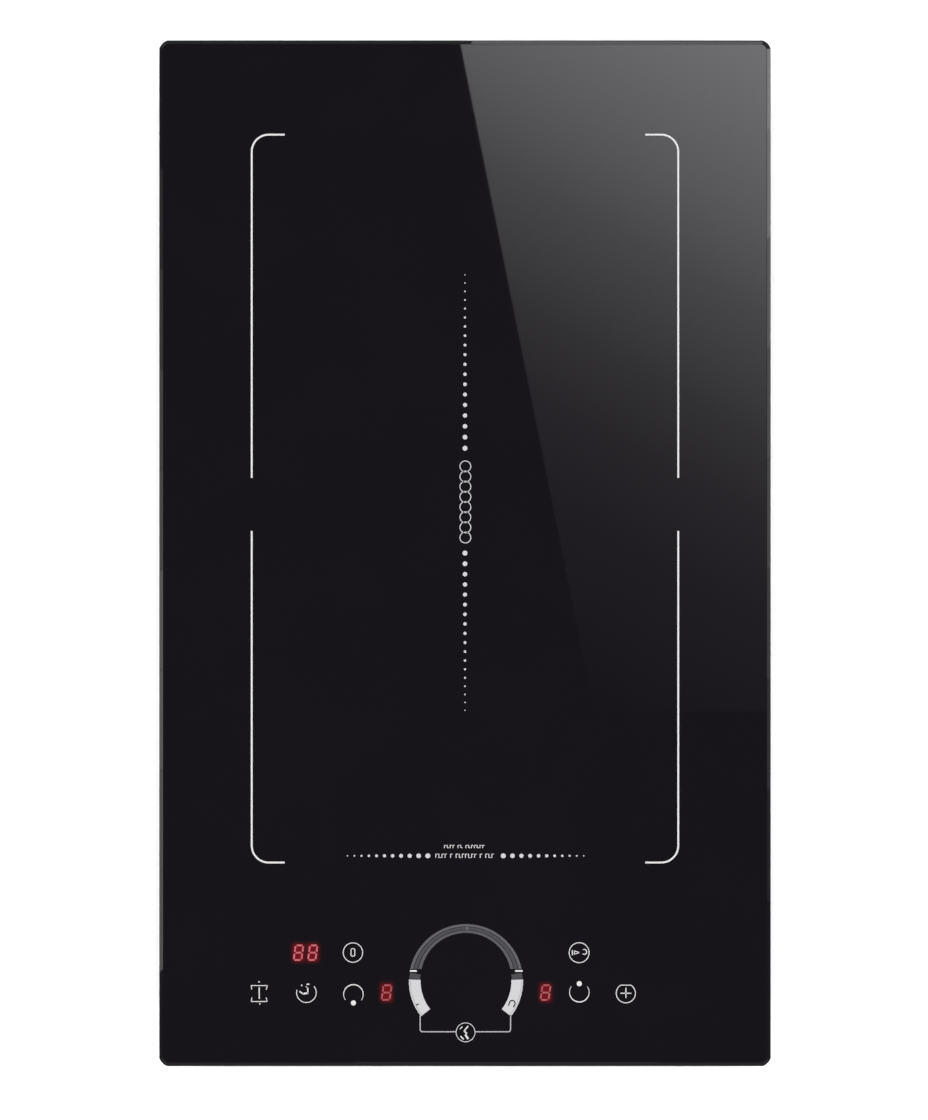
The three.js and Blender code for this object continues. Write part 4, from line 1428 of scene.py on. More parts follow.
@dataclass
class KeyPrints:
    """The touch keys beside the slider.

    Attributes:
        printer: what prints the marks.
        line: the width of their lines.
    """

    printer: Printer
    line: float = 0.4

    def build(self) -> None:
        """Prints the keys."""
        prints = {
            "off_key_print": self.off_key((-56.75, -202.2)),
            "bridge_key_print": self.bridge_key((-104.2, -222.95)),
            "timer_key_print": self.timer_key((-80.3, -222.5)),
            "rear_zone_key_print": self.zone_key((-56.5, -223.3), -1),
            "lock_key_print": self.lock_key((57.8, -202.25)),
            "front_zone_key_print": self.zone_key((57.9, -222.35), 1),
            "plus_key_print": self.plus_key((81.45, -222.8)),
        }
        for name, marks in prints.items():
            self.printer.printed(name, marks, PRINT_WHITE)

    def off_key(self, at: Place) -> list[Thing]:
        """A circle around a nought."""
        sides = [(side * 0.95, -1.7, side * 0.95, 1.8, 0.42) for side in (-1, 1)]
        levels = [(-0.8, level, 0.8, level, 0.42) for level in (-1.8, 1.95)]
        return [self.printer.ring(at, 4.9, self.line), *self.printer.bars(at, *sides, *levels)]

    def bridge_key(self, at: Place) -> list[Thing]:
        """Two brackets joined by an upright, for one long zone."""
        pen, (x, y), line = self.printer, at, self.line
        marks = pen.bars(at, (0, -2.7, 0, 3.2, 0.56))
        for way, half, dot in ((1, 4.15, (x - 0.1, y + 5.9)), (-1, 4.05, (x + 0.3, y - 5.2))):
            level, tip = way * 4.05, way * 2.05
            marks += pen.bars(
                at,
                (-half, level, half, level, line),
                (-half, level, 0.35 - half, tip, line),
                (half, level, half - 0.6, tip, line),
            )
            marks.append(pen.dot(dot, 0.36))
        return marks

    def timer_key(self, at: Place) -> list[Thing]:
        """An open circle around two hands."""
        pen, (x, y) = self.printer, at
        hands = pen.bars(
            at,
            (-3.5, 0.7, -1.6, -0.7, 0.66),
            (-1.9, -0.6, 0.9, -0.2, 0.9),
            (0.75, -0.6, 0.6, 2.7, 0.62),
            (0.7, 2.3, -0.4, 3.2, 0.4),
            (0.1, 4.2, 1.5, 4.3, 0.6),
        )
        return [pen.arc(at, 4.98, self.line, 164, 236), *hands, pen.dot((x - 2.4, y + 3.7), 0.4)]

    def zone_key(self, at: Place, opening: int) -> list[Thing]:
        """An open circle that is thickest opposite its opening, with a dot in the opening.

        Args:
            at: the circle's middle.
            opening: 1 if it opens to the back and -1 if it opens to the front.

        Returns:
            Its marks.
        """
        pen, (x, y) = self.printer, at
        ring = pen.crescent(at, 5.14, (x, y + opening * 0.2), 4.78)
        kept = pen.kept(ring, (x, y + opening * 3.0), (0, -opening))
        return [kept, pen.dot((x, y + opening * 4.4), 1.3)]

    def lock_key(self, at: Place) -> list[Thing]:
        """A circle around a small key."""
        pen, (x, y) = self.printer, at
        corners = [(-2.5, 0.9), (0.1, 0.1), (-2.5, -0.9)]
        sides = [(*corners[i - 1], *corners[i], 0.38) for i in (1, 2, 0)]
        marks = [pen.ring(at, 5.05, self.line), pen.arc((x + 2.6, y + 0.4), 1.25, 0.44, -130, 250)]
        return [*marks, *pen.bars(at, *sides), pen.arc((x + 2.9, y), 6.4, 0.44, 168, 24)]

    def plus_key(self, at: Place) -> list[Thing]:
        """A circle with a flat top around a plus."""
        radius, flat = 4.85, 4.1
        edge = math.degrees(math.asin(flat / radius))
        half = math.sqrt(radius**2 - flat**2)
        bars = self.printer.bars(
            at, (-half, flat, half, flat, self.line), (-2.7, 0, 2.8, 0, 0.48), (0.05, -2.3, 0.05, 2.8, 0.5)
        )
        return [self.printer.arc(at, radius, self.line, 180 - edge, 180 + 2 * edge), *bars]


@dataclass
class LitDigits:
    """Seven-segment digits that shine through the glass.

    Attributes:
        printer: what lays the segments on the glass.
        lean: how far the digits lean to the right, in degrees.
        field: half the width and the height of the painted red glow around a digit.
        places: each digit's name, middle, width, height and brightness.
    """

    printer: Printer
    lean: float = 8.0
    field: Place = (1.45, 3.1)
    places: tuple[tuple[str, Place, float, float, float], ...] = (
        ("timer_tens_digit", (-84.3, -202.25), 3.9, 7.4, 0.5),
        ("timer_ones_digit", (-77.1, -202.25), 3.8, 7.4, 0.5),
        ("left_zone_digit", (-39.7, -222.45), 4.1, 7.4, 0.32),
        ("right_zone_digit", (40.8, -222.45), 4.1, 7.4, 0.32),
    )

    def halos(self) -> tuple[Halo, ...]:
        """The painted red glows around the digits."""
        return tuple(Halo(at, self.field) for _, at, *_ in self.places)

    def build(self) -> None:
        """Makes each digit's segments."""
        for name, at, width, height, strength in self.places:
            piece = self.printer.laid(name, self.segments(at, width, height), 0.01)
            light = LedLight(name + "_light", strength)
            piece.data.materials.append(light.material())
            fitted(piece, Finish(light.name, "display_red", (0, 0, 0), 0))

    def segments(self, at: Place, width: float, height: float) -> list[Thing]:
        """The seven segments of one digit.

        Args:
            at: the digit's middle.
            width: from the left segments to the right ones.
            height: from the lowest segment to the highest one.

        Returns:
            The segments as flat marks.
        """
        slope = math.tan(math.radians(self.lean))
        half, line, gap = width / 2, 0.84, 0.46
        rows = []
        for level in (-height / 2, 0.0, height / 2):
            lean = level * slope
            rows.append((lean - half + gap, level, lean + half - gap, level, line))
        for side in (-half, half):
            for middle in (-height / 4, height / 4):
                low, high = middle - height / 4 + gap, middle + height / 4 - gap
                rows.append((side + low * slope, low, side + high * slope, high, line))
        return self.printer.bars(at, *rows)


# ---------------------------------------------------------------- studio


@dataclass(frozen=True)
class Softbox:
    """A soft lamp.

    Attributes:
        name: what the lamp is called.
        at: where it hangs, in metres.
        size: its width and height, in metres.
        radiance: how bright its face is.
        mirrored: whether shiny surfaces show it.
    """

    name: str
    at: Point
    size: Place
    radiance: float
    mirrored: bool = True

    def hang(self) -> None:
        """Adds the lamp, turned to the object."""
        cleared()
        aim = (Vector((0, 0, 0.05)) - Vector(self.at)).to_track_quat("-Z", "Y").to_euler()
        bpy.ops.object.light_add(type="AREA", location=self.at, rotation=aim)
        lamp = bpy.context.active_object
        lamp.name = self.name
        lamp.data.shape = "RECTANGLE"
        lamp.data.size, lamp.data.size_y = self.size
        lamp.data.energy = self.radiance * math.pi * self.size[0] * self.size[1]
        lamp.visible_glossy = self.mirrored
        lamp.visible_camera = False


@dataclass(frozen=True)
class StripLight:
    """A row of soft lamps along Y, each as bright as the ground edge that mirrors it should look.

    Attributes:
        name: what the strip is called.
        x: how far out it hangs, in metres.
        z: how high it hangs, in metres.
        first: where its front lamp starts, in metres.
        pitch: the width of one lamp, in metres.
        radiances: how bright each lamp is, from front to back.
    """

    name: str
    x: float
    z: float
    first: float
    pitch: float
    radiances: tuple[float, ...]

    def hang(self) -> None:
        """Adds the row."""
        for i, radiance in enumerate(self.radiances):
            at = (self.x, self.first + self.pitch * (i + 0.5), self.z)
            Softbox(f"{self.name}_{i}", at, (self.pitch, 0.5), radiance).hang()


@dataclass
class Studio:
    """The camera, a pale floor and soft light, with a bright card that the glass mirrors.

    Attributes:
        eye: the camera's place, in millimetres.
        glass: the height of the glass's surface, in millimetres.
        lens: the camera's focal length.
        card_height: how far above the glass the card hangs, in millimetres.
        card_bright: how bright the card is.
        card_outline: the corners of the card's mirror image on the glass.
        card_tint: the colour of the card's darkest part.
        card_slope: the direction on the glass in which the card gets brighter.
        glow_range: where along that direction the card's scale starts and ends.
        glow: places along that direction, with the card's brightness there from 0 to 1.
        lamps: the soft lamps.
    """

    eye: Point = (-0.5, -3.4, 1637.5)
    glass: float = 62.0
    lens: float = 100.0
    card_height: float = 2400.0
    card_bright: float = 4.0
    card_outline: tuple[Place, ...] = ((65.3, -80.0), (-14.7, 320.0), (230.0, 320.0), (230.0, -80.0))
    card_tint: Colour = (0.0325, 0.03, 0.0375)
    card_slope: Place = (0.55, 1.0)
    glow_range: Place = (-40.0, 360.0)
    glow: tuple[tuple[float, float], ...] = (
        (-40, 0.0), (5, 0.016), (51, 0.032), (100, 0.07), (141, 0.14), (187, 0.27), (205, 0.325), (250, 0.53),
        (327, 0.86), (360, 0.98),
    )
    lamps: tuple[Softbox | StripLight, ...] = (
        Softbox("overhead_lamp", (0.0, 0.0, 3.0), (3.4, 3.4), 5.4, False),
        StripLight("left_strip", -2.3, 0.78, -0.505, 0.1225, (1.5, 1.55, 1.85, 1.8, 1.2, 0.95, 0.6, 0.25)),
        Softbox("front_lamp", (0.05, -2.2, 0.93), (0.36, 0.5), 3.2),
        Softbox("rear_lamp", (0.25, 2.3, 0.78), (0.5, 0.5), 1.8),
        StripLight("right_strip", 2.3, 0.78, -0.42, 0.135, (0.15, 0.4, 0.75, 1.1, 1.3, 1.9, 3.1, 4.0)),
    )

    def build(self) -> None:
        """Sets up the camera, the floor, the sky and the lamps."""
        self.camera()
        self.floor()
        self.sky()
        for lamp in self.lamps:
            lamp.hang()
        self.card()
        bpy.context.scene.view_settings.view_transform = "Standard"

    def camera(self) -> None:
        """Adds the camera, straight above the plate with the plate's back up."""
        cleared()
        bpy.ops.object.camera_add(location=metres(*self.eye), rotation=(0, 0, 0))
        camera = bpy.context.active_object
        camera.name = "camera"
        camera.data.lens = self.lens
        camera.data.clip_end = 100
        bpy.context.scene.camera = camera

    def floor(self) -> None:
        """Lays the floor, a pale matt board."""
        cleared()
        bpy.ops.mesh.primitive_plane_add(size=30)
        floor = named("floor")
        nodes = Nodes("pale_board")
        cloud = nodes.noise(nodes.place(), 400, 2)
        tone = nodes.ramp(cloud, [(0.3, (0.9, 0.9, 0.9)), (0.7, (0.92, 0.92, 0.92))])
        nodes.say(Base_Color=tone, Roughness=0.9)
        floor.data.materials.append(nodes.material)

    def sky(self) -> None:
        """Fills the room with light that is dim above and bright at the horizon."""
        world = bpy.data.worlds.new("room")
        bpy.context.scene.world = world
        world.use_nodes = True
        tree = world.node_tree
        ray = tree.nodes.new("ShaderNodeTexCoord")
        split = tree.nodes.new("ShaderNodeSeparateXYZ")
        ramp = tree.nodes.new("ShaderNodeValToRGB")
        tree.links.new(ray.outputs["Generated"], split.inputs[0])
        tree.links.new(split.outputs["Z"], ramp.inputs[0])
        tree.links.new(ramp.outputs[0], tree.nodes["Background"].inputs["Color"])
        self.backdrop(tree)
        low = ((0.0, (0.9, 0.9, 0.92)), (0.16, (0.55, 0.55, 0.57)))
        high = ((0.32, (0.09, 0.088, 0.095)), (1.0, (0.13, 0.12, 0.15)))
        coloured(ramp.color_ramp, low + high)

    @staticmethod
    def backdrop(tree: bpy.types.NodeTree) -> None:
        """Shows the camera a plain pale wall in place of the room's own light."""
        wall = tree.nodes.new("ShaderNodeBackground")
        wall.inputs["Color"].default_value = (1.0, 1.0, 1.0, 1.0)
        chosen = tree.nodes.new("ShaderNodeMixShader")
        tree.links.new(tree.nodes.new("ShaderNodeLightPath").outputs["Is Camera Ray"], chosen.inputs[0])
        tree.links.new(tree.nodes["Background"].outputs[0], chosen.inputs[1])
        tree.links.new(wall.outputs[0], chosen.inputs[2])
        tree.links.new(chosen.outputs[0], tree.nodes["World Output"].inputs["Surface"])

    def card(self) -> None:
        """Hangs the bright card, with its outline drawn where its mirror image lies on the glass."""
        spread = 1 + self.card_height / (self.eye[2] - self.glass)
        corners = [self.hung(place, spread) for place in self.card_outline]
        mesh = bpy.data.meshes.new("bright_card")
        mesh.from_pydata(corners, [], [(0, 1, 2, 3)])
        card = bpy.data.objects.new("bright_card", mesh)
        bpy.context.scene.collection.objects.link(card)
        nodes = Nodes("bright_card")
        self.card_light(nodes, spread)
        mesh.materials.append(nodes.material)
        card.visible_camera = card.visible_diffuse = card.visible_shadow = False

    def hung(self, place: Place, spread: float) -> Point:
        """The point of the card whose mirror image lies at a place on the glass."""
        x, y = (self.eye[i] + (place[i] - self.eye[i]) * spread for i in (0, 1))
        return metres(x, y, self.glass + self.card_height)

    def card_light(self, nodes: Nodes, spread: float) -> None:
        """Makes the card brighter along its slope.

        Args:
            nodes: the card's material.
            spread: how many times larger the card is than its mirror image.
        """
        along = [step / spread / MM for step in self.card_slope]
        start = sum(self.eye[i] * (1 - 1 / spread) * self.card_slope[i] for i in (0, 1))
        low, high = self.glow_range
        place = nodes.place()
        dot = nodes.vector("DOT_PRODUCT", place, (*along, 0), output="Value")
        share = nodes.math("DIVIDE", nodes.math("SUBTRACT", dot, low - start), high - low)
        tones = tuple(zip((0.97, 0.955, 1.0), self.card_tint, strict=True))
        stops = [
            ((step - low) / (high - low), tuple(level * tone + base for tone, base in tones))
            for step, level in self.glow
        ]
        inputs = {"Color": nodes.ramp(share, stops), "Strength": self.card_bright}
        emission = nodes.add("ShaderNodeEmission", inputs)
        output = nodes.tree.nodes["Material Output"]
        nodes.tree.links.new(emission.outputs[0], output.inputs["Surface"])


# ---------------------------------------------------------------- sheet-metal body


RIM = Remade("glass_frame", "glass_frame_folded", FRAME_STEEL, 0.2)
CLAMP_PLACES = ("rear_left", "rear_right", "front_left", "front_right")


@dataclass
class Seal:
    """The soft seal under the plate's edge, a round-edged strip all the way around.

    Attributes:
        inset: from the plate's edge to the strip; not used.
        width: the strip's width.
        corner: the radius of its outer corners.
    """

    inset: float = 1.5
    width: float = 4.0
    corner: float = 2.6

    def build(self) -> None:
        """Makes the strip: a slab whose middle is inset and cut out."""
        low, high = span("worktop_seal")
        strip = block("worktop_seal_strip", tuple(low), tuple(high))
        with editing(strip):
            bevel_edges(upright, self.corner, 5)
            pick_faces(lambda normal: abs(normal.z) > 0.9)
            bpy.ops.mesh.inset(thickness=self.width * MM)
            bpy.ops.mesh.bridge_edge_loops()
        mend(strip)
        rounded(strip, 0.9, 3, 50)
        smooth(strip, 50)
        fitted(strip, FOAM, "worktop_seal")


@dataclass
class Tray:
    """The galvanised tray under the glass, with its vents, pockets, beads, rivets and weld nuts.

    Attributes:
        corner: the radius of its upright corners.
        bend: the radius of its floor bend.
        sheet: the sheet's thickness.
        front_vents: number, first place, pitch, width, foot and top of the slots in the front wall.
        rear_vents: those of the slots in the rear wall.
        floor_vents: number, first place, pitch, width, front and back of the slots in the floor.
        fan_grille: middle, radius, slot width and pitch of the slots under the fan.
        floor_beads: the corners of the beads in the floor.
        outer_grooves: the corners of the grooves that only the outside shows.
        wall_bead: front, back, foot and top of the bead in each side wall.
        groove: how deep the grooves are.
        pockets: the middles of the clamp pockets in Y.
        pocket_size: how deep and how long a pocket is.
        pocket_top: the height of a pocket's ceiling.
    """

    corner: float = 10.0
    bend: float = 2.5
    sheet: float = 1.0
    front_vents: tuple[float, ...] = (15, -98.0, 14.0, 3.5, 12.0, 32.0)
    rear_vents: tuple[float, ...] = (11, -108.0, 12.0, 3.5, 14.0, 34.0)
    floor_vents: tuple[float, ...] = (9, -8.0, 12.0, 3.5, -48.0, 8.0)
    fan_grille: tuple[float, ...] = (-68.0, 150.0, 31.0, 3.5, 7.0)
    floor_beads: tuple[tuple[Place, Place], ...] = (
        ((-128.0, -126.0), (-120.0, 84.0)),
        ((124.0, -126.0), (132.0, 92.0)),
        ((-90.0, -172.0), (90.0, -164.0)),
        ((-20.0, 200.0), (50.0, 208.0)),
    )
    outer_grooves: tuple[tuple[Place, Place], ...] = (
        ((-90.0, -130.0), (90.0, -124.0)),
        ((-90.0, -104.0), (90.0, -98.0)),
        ((-90.0, 96.0), (90.0, 102.0)),
    )
    wall_bead: tuple[float, ...] = (-118.0, 84.0, 16.0, 23.0)
    groove: float = 0.4
    pockets: tuple[float, ...] = (150.0, -184.0)
    pocket_size: Place = (24.0, 52.0)
    pocket_top: float = 34.0

    def build(self) -> None:
        """Makes the tray and what is pressed into it or riveted to it."""
        low, high = span("base_tray")
        self.low, self.high = tuple(low), tuple(high)
        tray = folded_tray("base_tray_sheet", self.low, self.high, self.corner, self.bend, self.sheet)
        carved(tray, self.pocket_voids())
        carved(tray, [self.pocket(y, side) for y in self.pockets for side in (-1, 1)], "UNION")
        carved(tray, self.wall_slots())
        carved(tray, self.floor_slots())
        carved(tray, self.holes())
        carved(tray, self.grooves())
        rounded(tray, 0.12, 1, 50)
        flat_smooth(tray, 30)
        fitted(tray, GALVANISED, "base_tray")
        self.fittings()
        self.beads()

    def pocket_voids(self) -> list[Thing]:
        """The blocks cut out of the walls and the floor where the pockets go."""
        depth, length = self.pocket_size
        blocks = []
        for y in self.pockets:
            for side in (-1, 1):
                outer, inner = side * (self.high[0] + 1), side * (self.high[0] - depth)
                low = (outer, y - length / 2, -1)
                blocks.append(block("void", low, (inner, y + length / 2, self.pocket_top)))
        return blocks

    def pocket(self, y: float, side: int) -> Thing:
        """One pocket: an open box of sheet whose opening looks outwards and down.

        Args:
            y: its middle.
            side: 1 for the right wall and -1 for the left one.

        Returns:
            The pocket.
        """
        depth, length = self.pocket_size
        outer, inner = side * self.high[0], side * (self.high[0] - depth)
        box = block("pocket", (outer, y - length / 2, 0), (inner, y + length / 2, self.pocket_top))
        with editing(box):
            pick_faces(lambda normal: normal.z < -0.9 or side * normal.x > 0.9)
            bpy.ops.mesh.delete(type="FACE")
        return modified(box, "SOLIDIFY", thickness=self.sheet * MM, offset=1, use_even_offset=True)

    def wall_slots(self) -> list[Thing]:
        """The blocks that cut the slots in the front wall and the rear wall."""
        cutters = []
        for vents, y in ((self.front_vents, self.low[1]), (self.rear_vents, self.high[1])):
            count, first, pitch, width, foot, top = vents
            slot = stadium("slot", (first - width / 2, foot, -3), (first + width / 2, top, 3))
            cutters += self.row(placed(slot, (math.pi / 2, 0, 0), (0, y, 0)), int(count), pitch)
        return cutters

    @staticmethod
    def row(thing: Thing, count: int, pitch: float) -> list[Thing]:
        """An object and its copies in a row along X."""
        return [thing, *(copied(thing, "copy", (pitch * i, 0, 0)) for i in range(1, count))]

    def floor_slots(self) -> list[Thing]:
        """The blocks that cut the grille under the fan and the slots under the board."""
        count, first, pitch, width, front, back = self.floor_vents
        slot = stadium("slot", (first - width / 2, front, -2), (first + width / 2, back, 3))
        cutters = self.row(slot, int(count), pitch)
        x, y, radius, width, pitch = self.fan_grille
        steps = int(radius / pitch)
        for i in range(-steps, steps + 1):
            half = math.sqrt(radius**2 - (i * pitch) ** 2) - 0.6
            left = x + i * pitch - width / 2
            cutters.append(stadium("slot", (left, y - half, -2), (left + width, y + half, 3)))
        return cutters

    def holes(self) -> list[Thing]:
        """The bars that cut the screw holes in the pockets' ceilings and the cable hole in the rear wall."""
        screws = [middle_of("clamp_screw_" + name)[:2] for name in CLAMP_PLACES]
        bars = [drum("hole", at, 2.8, self.pocket_top - 2, self.pocket_top + 3, 24) for at in screws]
        x, _, z = middle_of("cable_gland")
        cable = drum("hole", (0, 0), 8.6, -3, 3)
        return [*bars, placed(cable, (math.pi / 2, 0, 0), (x, self.high[1], z))]

    def grooves(self) -> list[Thing]:
        """The bars that press the stiffening grooves into the outside of the floor and the side walls."""
        front, back, foot, top = self.wall_bead
        bars = [
            stadium("groove", (*low, -1), (*high, self.groove))
            for low, high in (*self.floor_beads, *self.outer_grooves)
        ]
        for side in (-1, 1):
            outer, inner = side * (self.high[0] + 1), side * (self.high[0] - self.groove)
            bars.append(block("groove", (outer, front, foot), (inner, back, top)))
        return bars

    def fittings(self) -> None:
        """Adds the weld nuts over the pockets and the rivets that hold the crossbars to the side walls."""
        nuts = []
        for name in CLAMP_PLACES:
            at = middle_of("clamp_screw_" + name)[:2]
            nut = drum("nut", at, 5.2, self.pocket_top + self.sheet, self.pocket_top + 4.2, 6, 0.4)
            carved(nut, [drum("bore", at, 2.45, self.pocket_top, self.pocket_top + 6, 20)])
            nuts.append(smooth(nut, 30))
        fitted(joined("weld_nuts", nuts), ZINC)
        profile = [(0, 0.6), (1.2, 0.55), (2.0, 0.35), (2.4, 0.0), (2.4, -0.4), (0, -0.4)]
        rivets = []
        for y in (191.0, 201.0, -145.0, -135.0):
            for side in (-1, 1):
                rivet = turned("rivet", profile, sides=20)
                rivets.append(placed(rivet, (0, side * math.pi / 2, 0), (side * self.high[0], y, 34.5)))
        fitted(smooth(joined("crossbar_rivets", rivets), 40), ZINC)

    def beads(self) -> None:
        """Adds the shallow stiffening beads that are pressed into the floor and the side walls."""
        front, back, foot, top = self.wall_bead
        beads = []
        for low, high in self.floor_beads:
            bead = stadium("bead", (*low, self.sheet - 0.3), (*high, self.sheet + 0.9))
            beads.append(rounded(bead, 0.7, 3, 60))
        for side in (-1, 1):
            x = side * (self.high[0] - self.sheet)
            bead = block("bead", (x - side * 0.8, front, foot), (x + side * 0.3, back, top))
            beads.append(rounded(bead, 0.5, 3, 60))
        fitted(flat_smooth(joined("pressed_beads", beads), 40), GALVANISED)


@dataclass
class CaseScrews:
    """The four screws that hold the tray to the frame: low round heads with a cross recess.

    Attributes:
        head: the head's radius.
        rise: the head's height.
        recess: half the length of the cross's arms, and its depth.
    """

    head: float = 3.5
    rise: float = 1.0
    recess: Place = (1.9, 0.7)

    def build(self, nodes: dict[str, Thing]) -> None:
        """Makes each screw in the place of its CAD node."""
        for name in sorted(node for node in nodes if node.startswith("case_screw")):
            low, high = span(name)
            side = 1 if low.x > 0 else -1
            at = (side * max(abs(low.x), abs(high.x)), *middle_of(name)[1:])
            profile = [(0, 0), (1.6, -0.05), (2.8, -0.35), (self.head, -self.rise), (1.9, -self.rise - 0.02)]
            profile += [(1.9, -8.2), (0.9, -9.0), (0, -9.0)]
            screw = turned(name + "_turned", profile, sides=32)
            half, depth = self.recess
            carved(screw, [cross_cutter((0, 0, -depth), half, 0.32, depth + 1)])
            placed(screw, (0, side * math.pi / 2, 0), at)
            fitted(smooth(screw), ZINC, name)


# ---------------------------------------------------------------- worktop clamps


@dataclass
class Clamp:
    """One worktop clamp: a threaded bolt with a cross recess in its foot, and a bent finger with a tooth.

    Attributes:
        place: which of the four clamps this is.
        head: the radius of the bolt's foot, which the screwdriver turns.
        thread: the thread's outer radius.
        core: the radius under the thread.
        pitch: the thread's pitch.
    """

    place: str
    head: float = 4.5
    thread: float = 2.2
    core: float = 1.85
    pitch: float = 1.0

    def build(self, nodes: dict[str, Thing]) -> None:
        """Makes the bolt and the finger."""
        self.bolt()
        finger = "clamp_finger_" + self.place
        Remade(finger, finger + "_bent", ZINC, 0.45, 3, "clamp_arm_" + self.place).build(nodes)

    def bolt(self) -> None:
        """Makes the bolt: a turned body and a thread wound around it."""
        name = "clamp_screw_" + self.place
        foot, top = (corner.z for corner in span(name))
        at, r = middle_of(name)[:2], self.head
        profile = [(0, foot), (r - 0.8, foot), (r, foot + 0.7), (r, foot + 2.1), (r - 0.6, foot + 2.7)]
        profile += [(self.thread, foot + 2.9), (self.thread, foot + 9), (self.core, foot + 9.4)]
        profile += [(self.core, top - 0.5), (self.core - 0.6, top), (0, top)]
        bolt = turned("bolt", profile, at, 32)
        carved(bolt, [cross_cutter((*at, foot - 1), 2.3, 0.45, 2.5)])
        steps, radius = 16, self.core - 0.02
        line = []
        for i in range(round((top - foot - 10.4) / self.pitch * steps)):
            x, y = around(at, radius, i / steps)
            line.append((x, y, foot + 9.6 + self.pitch * i / steps))
        piece = joined(name + "_threaded", [smooth(bolt), tube("thread", line, 0.32, 1)])
        fitted(piece, ZINC, name, body="clamp_bolt_" + self.place)


# ---------------------------------------------------------------- induction coils


@dataclass
class CoilUnit:
    """One induction coil on its sprung carrier.

    Attributes:
        place: rear or front.
        middle: the coil's middle in Y.
        radius: the former's radius.
        turns: how many turns the winding has.
        winding: the radii of its first and last turn.
        strand: the radius of the stranded wire.
        bars: how many ferrite bars there are.
    """

    place: str
    middle: float
    radius: float = 88.0
    turns: int = 22
    winding: Place = (26.0, 83.6)
    strand: float = 1.3
    bars: int = 8

    @property
    def body(self) -> str:
        """The body that the coil rides on."""
        return "coil_unit_" + self.place

    def build(self, nodes: dict[str, Thing]) -> None:
        """Makes the carrier, the ferrites, the former, the winding, the pad and the sensor."""
        self.carrier()
        self.former()
        self.ferrites()
        self.wound()
        for node, name, finish, edge, segments in (
            ("insulation_pad_", "insulation_disc_", MICA, 0.3, 2),
            ("temperature_sensor_", "sensor_button_", SILICONE, 0.7, 3),
        ):
            Remade(node + self.place, name + self.place, finish, edge, segments, self.body).build(nodes)

    def carrier(self) -> None:
        """Makes the carrier: a shallow pressed plate with a turned-up rim, ribs and a hole in its middle."""
        node = "coil_carrier_" + self.place
        low, high = span(node)
        plate = folded_tray(node + "_pressed", tuple(low), tuple(high), 24, 1.4, 1.2)
        carved(plate, [drum("hole", (0, self.middle), 12, low.z - 1, high.z, 48)])
        rounded(plate, 0.15, 1, 60)
        fitted(flat_smooth(plate, 30), ALUMINIUM, node, body=self.body)
        ribs = []
        for side in (-1, 1):
            for end in (-1, 1):
                x, y = side * 82.0, self.middle + end * 71.0
                rib = stadium("rib", (x - 2.2, y - 9, low.z - 0.7), (x + 2.2, y + 9, low.z + 0.4))
                rib = rounded(rib, 0.5, 2, 60)
                ribs.append(copied(rib, "rib", turn=-side * end * 45, about=(x, y)))
                bpy.data.objects.remove(rib)
        ribs = joined("carrier_ribs_" + self.place, ribs)
        fitted(flat_smooth(ribs, 40), ALUMINIUM, body=self.body)

    def former(self) -> None:
        """Makes the former: a disc with a groove for the winding, a hub and slots for the ferrites."""
        node = "coil_former_" + self.place
        z, top = (corner.z for corner in span(node))
        r = self.radius
        profile = [(9.2, z), (r, z), (r, top - 0.6), (r - 0.6, top), (r - 1.8, top), (r - 2.2, top - 0.4)]
        profile += [(r - 2.4, z + 6.0), (24.0, z + 6.0), (23.6, top - 0.4), (23.2, top), (9.8, top)]
        profile += [(9.2, top - 0.6)]
        disc = turned("disc", [*profile, profile[0]], (0, self.middle), 96)
        slot = block("slot", (27.0, self.middle - 6.4, z - 1), (83.0, self.middle + 6.4, z + 4.8))
        slots = ring_of(slot, "slots", self.bars, (0, self.middle), 22.5)
        carved(disc, [slots])
        disc.name = node + "_moulded"
        fitted(smooth(disc, 30), FORMER_PLASTIC, node, body=self.body)

    def ferrites(self) -> None:
        """Makes the ferrite bars under the former."""
        low = span("coil_former_" + self.place)[0].z
        bar = block("bar", (28.0, self.middle - 6, low), (82.0, self.middle + 6, low + 4.3), 0.5)
        bars = ring_of(flat_smooth(bar, 30), "ferrite_bars_" + self.place, self.bars, (0, self.middle), 22.5)
        fitted(bars, FERRITE, body=self.body)

    def wound(self) -> None:
        """Winds the stranded wire in a flat spiral."""
        node = "coil_winding_" + self.place
        level = span(node)[1].z - self.strand - 0.25
        first, last = self.winding
        steps = 72
        line = []
        for i in range(self.turns * steps + 1):
            radius = first + (last - first) * i / (self.turns * steps)
            line.append((*around((0, self.middle), radius, i / steps), level))
        fitted(tube(node + "_wound", line, self.strand, 1), COPPER, node, body=self.body)


@dataclass
class CoilSpring:
    """A spring under a coil carrier.

    Attributes:
        node: the CAD spring that it stands for.
        joint: the joint that presses it; not used.
        wire: its wire's radius.
        turns: how many turns it has.
        keep: how much of its height is left at the joint's limit; not used.
    """

    node: str
    joint: str
    wire: float = 0.6
    turns: float = 4.5
    keep: float = 0.72

    def build(self) -> None:
        """Winds the spring."""
        low, high = span(self.node)
        at = middle_of(self.node)[:2]
        radius = (high.x - low.x) / 2 - self.wire
        spring = helix(self.node + "_wound", at, radius, self.wire, low.z, high.z, self.turns)
        fitted(spring, SPRING_STEEL, self.node)
        metres(*at, low.z)
        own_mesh(spring)


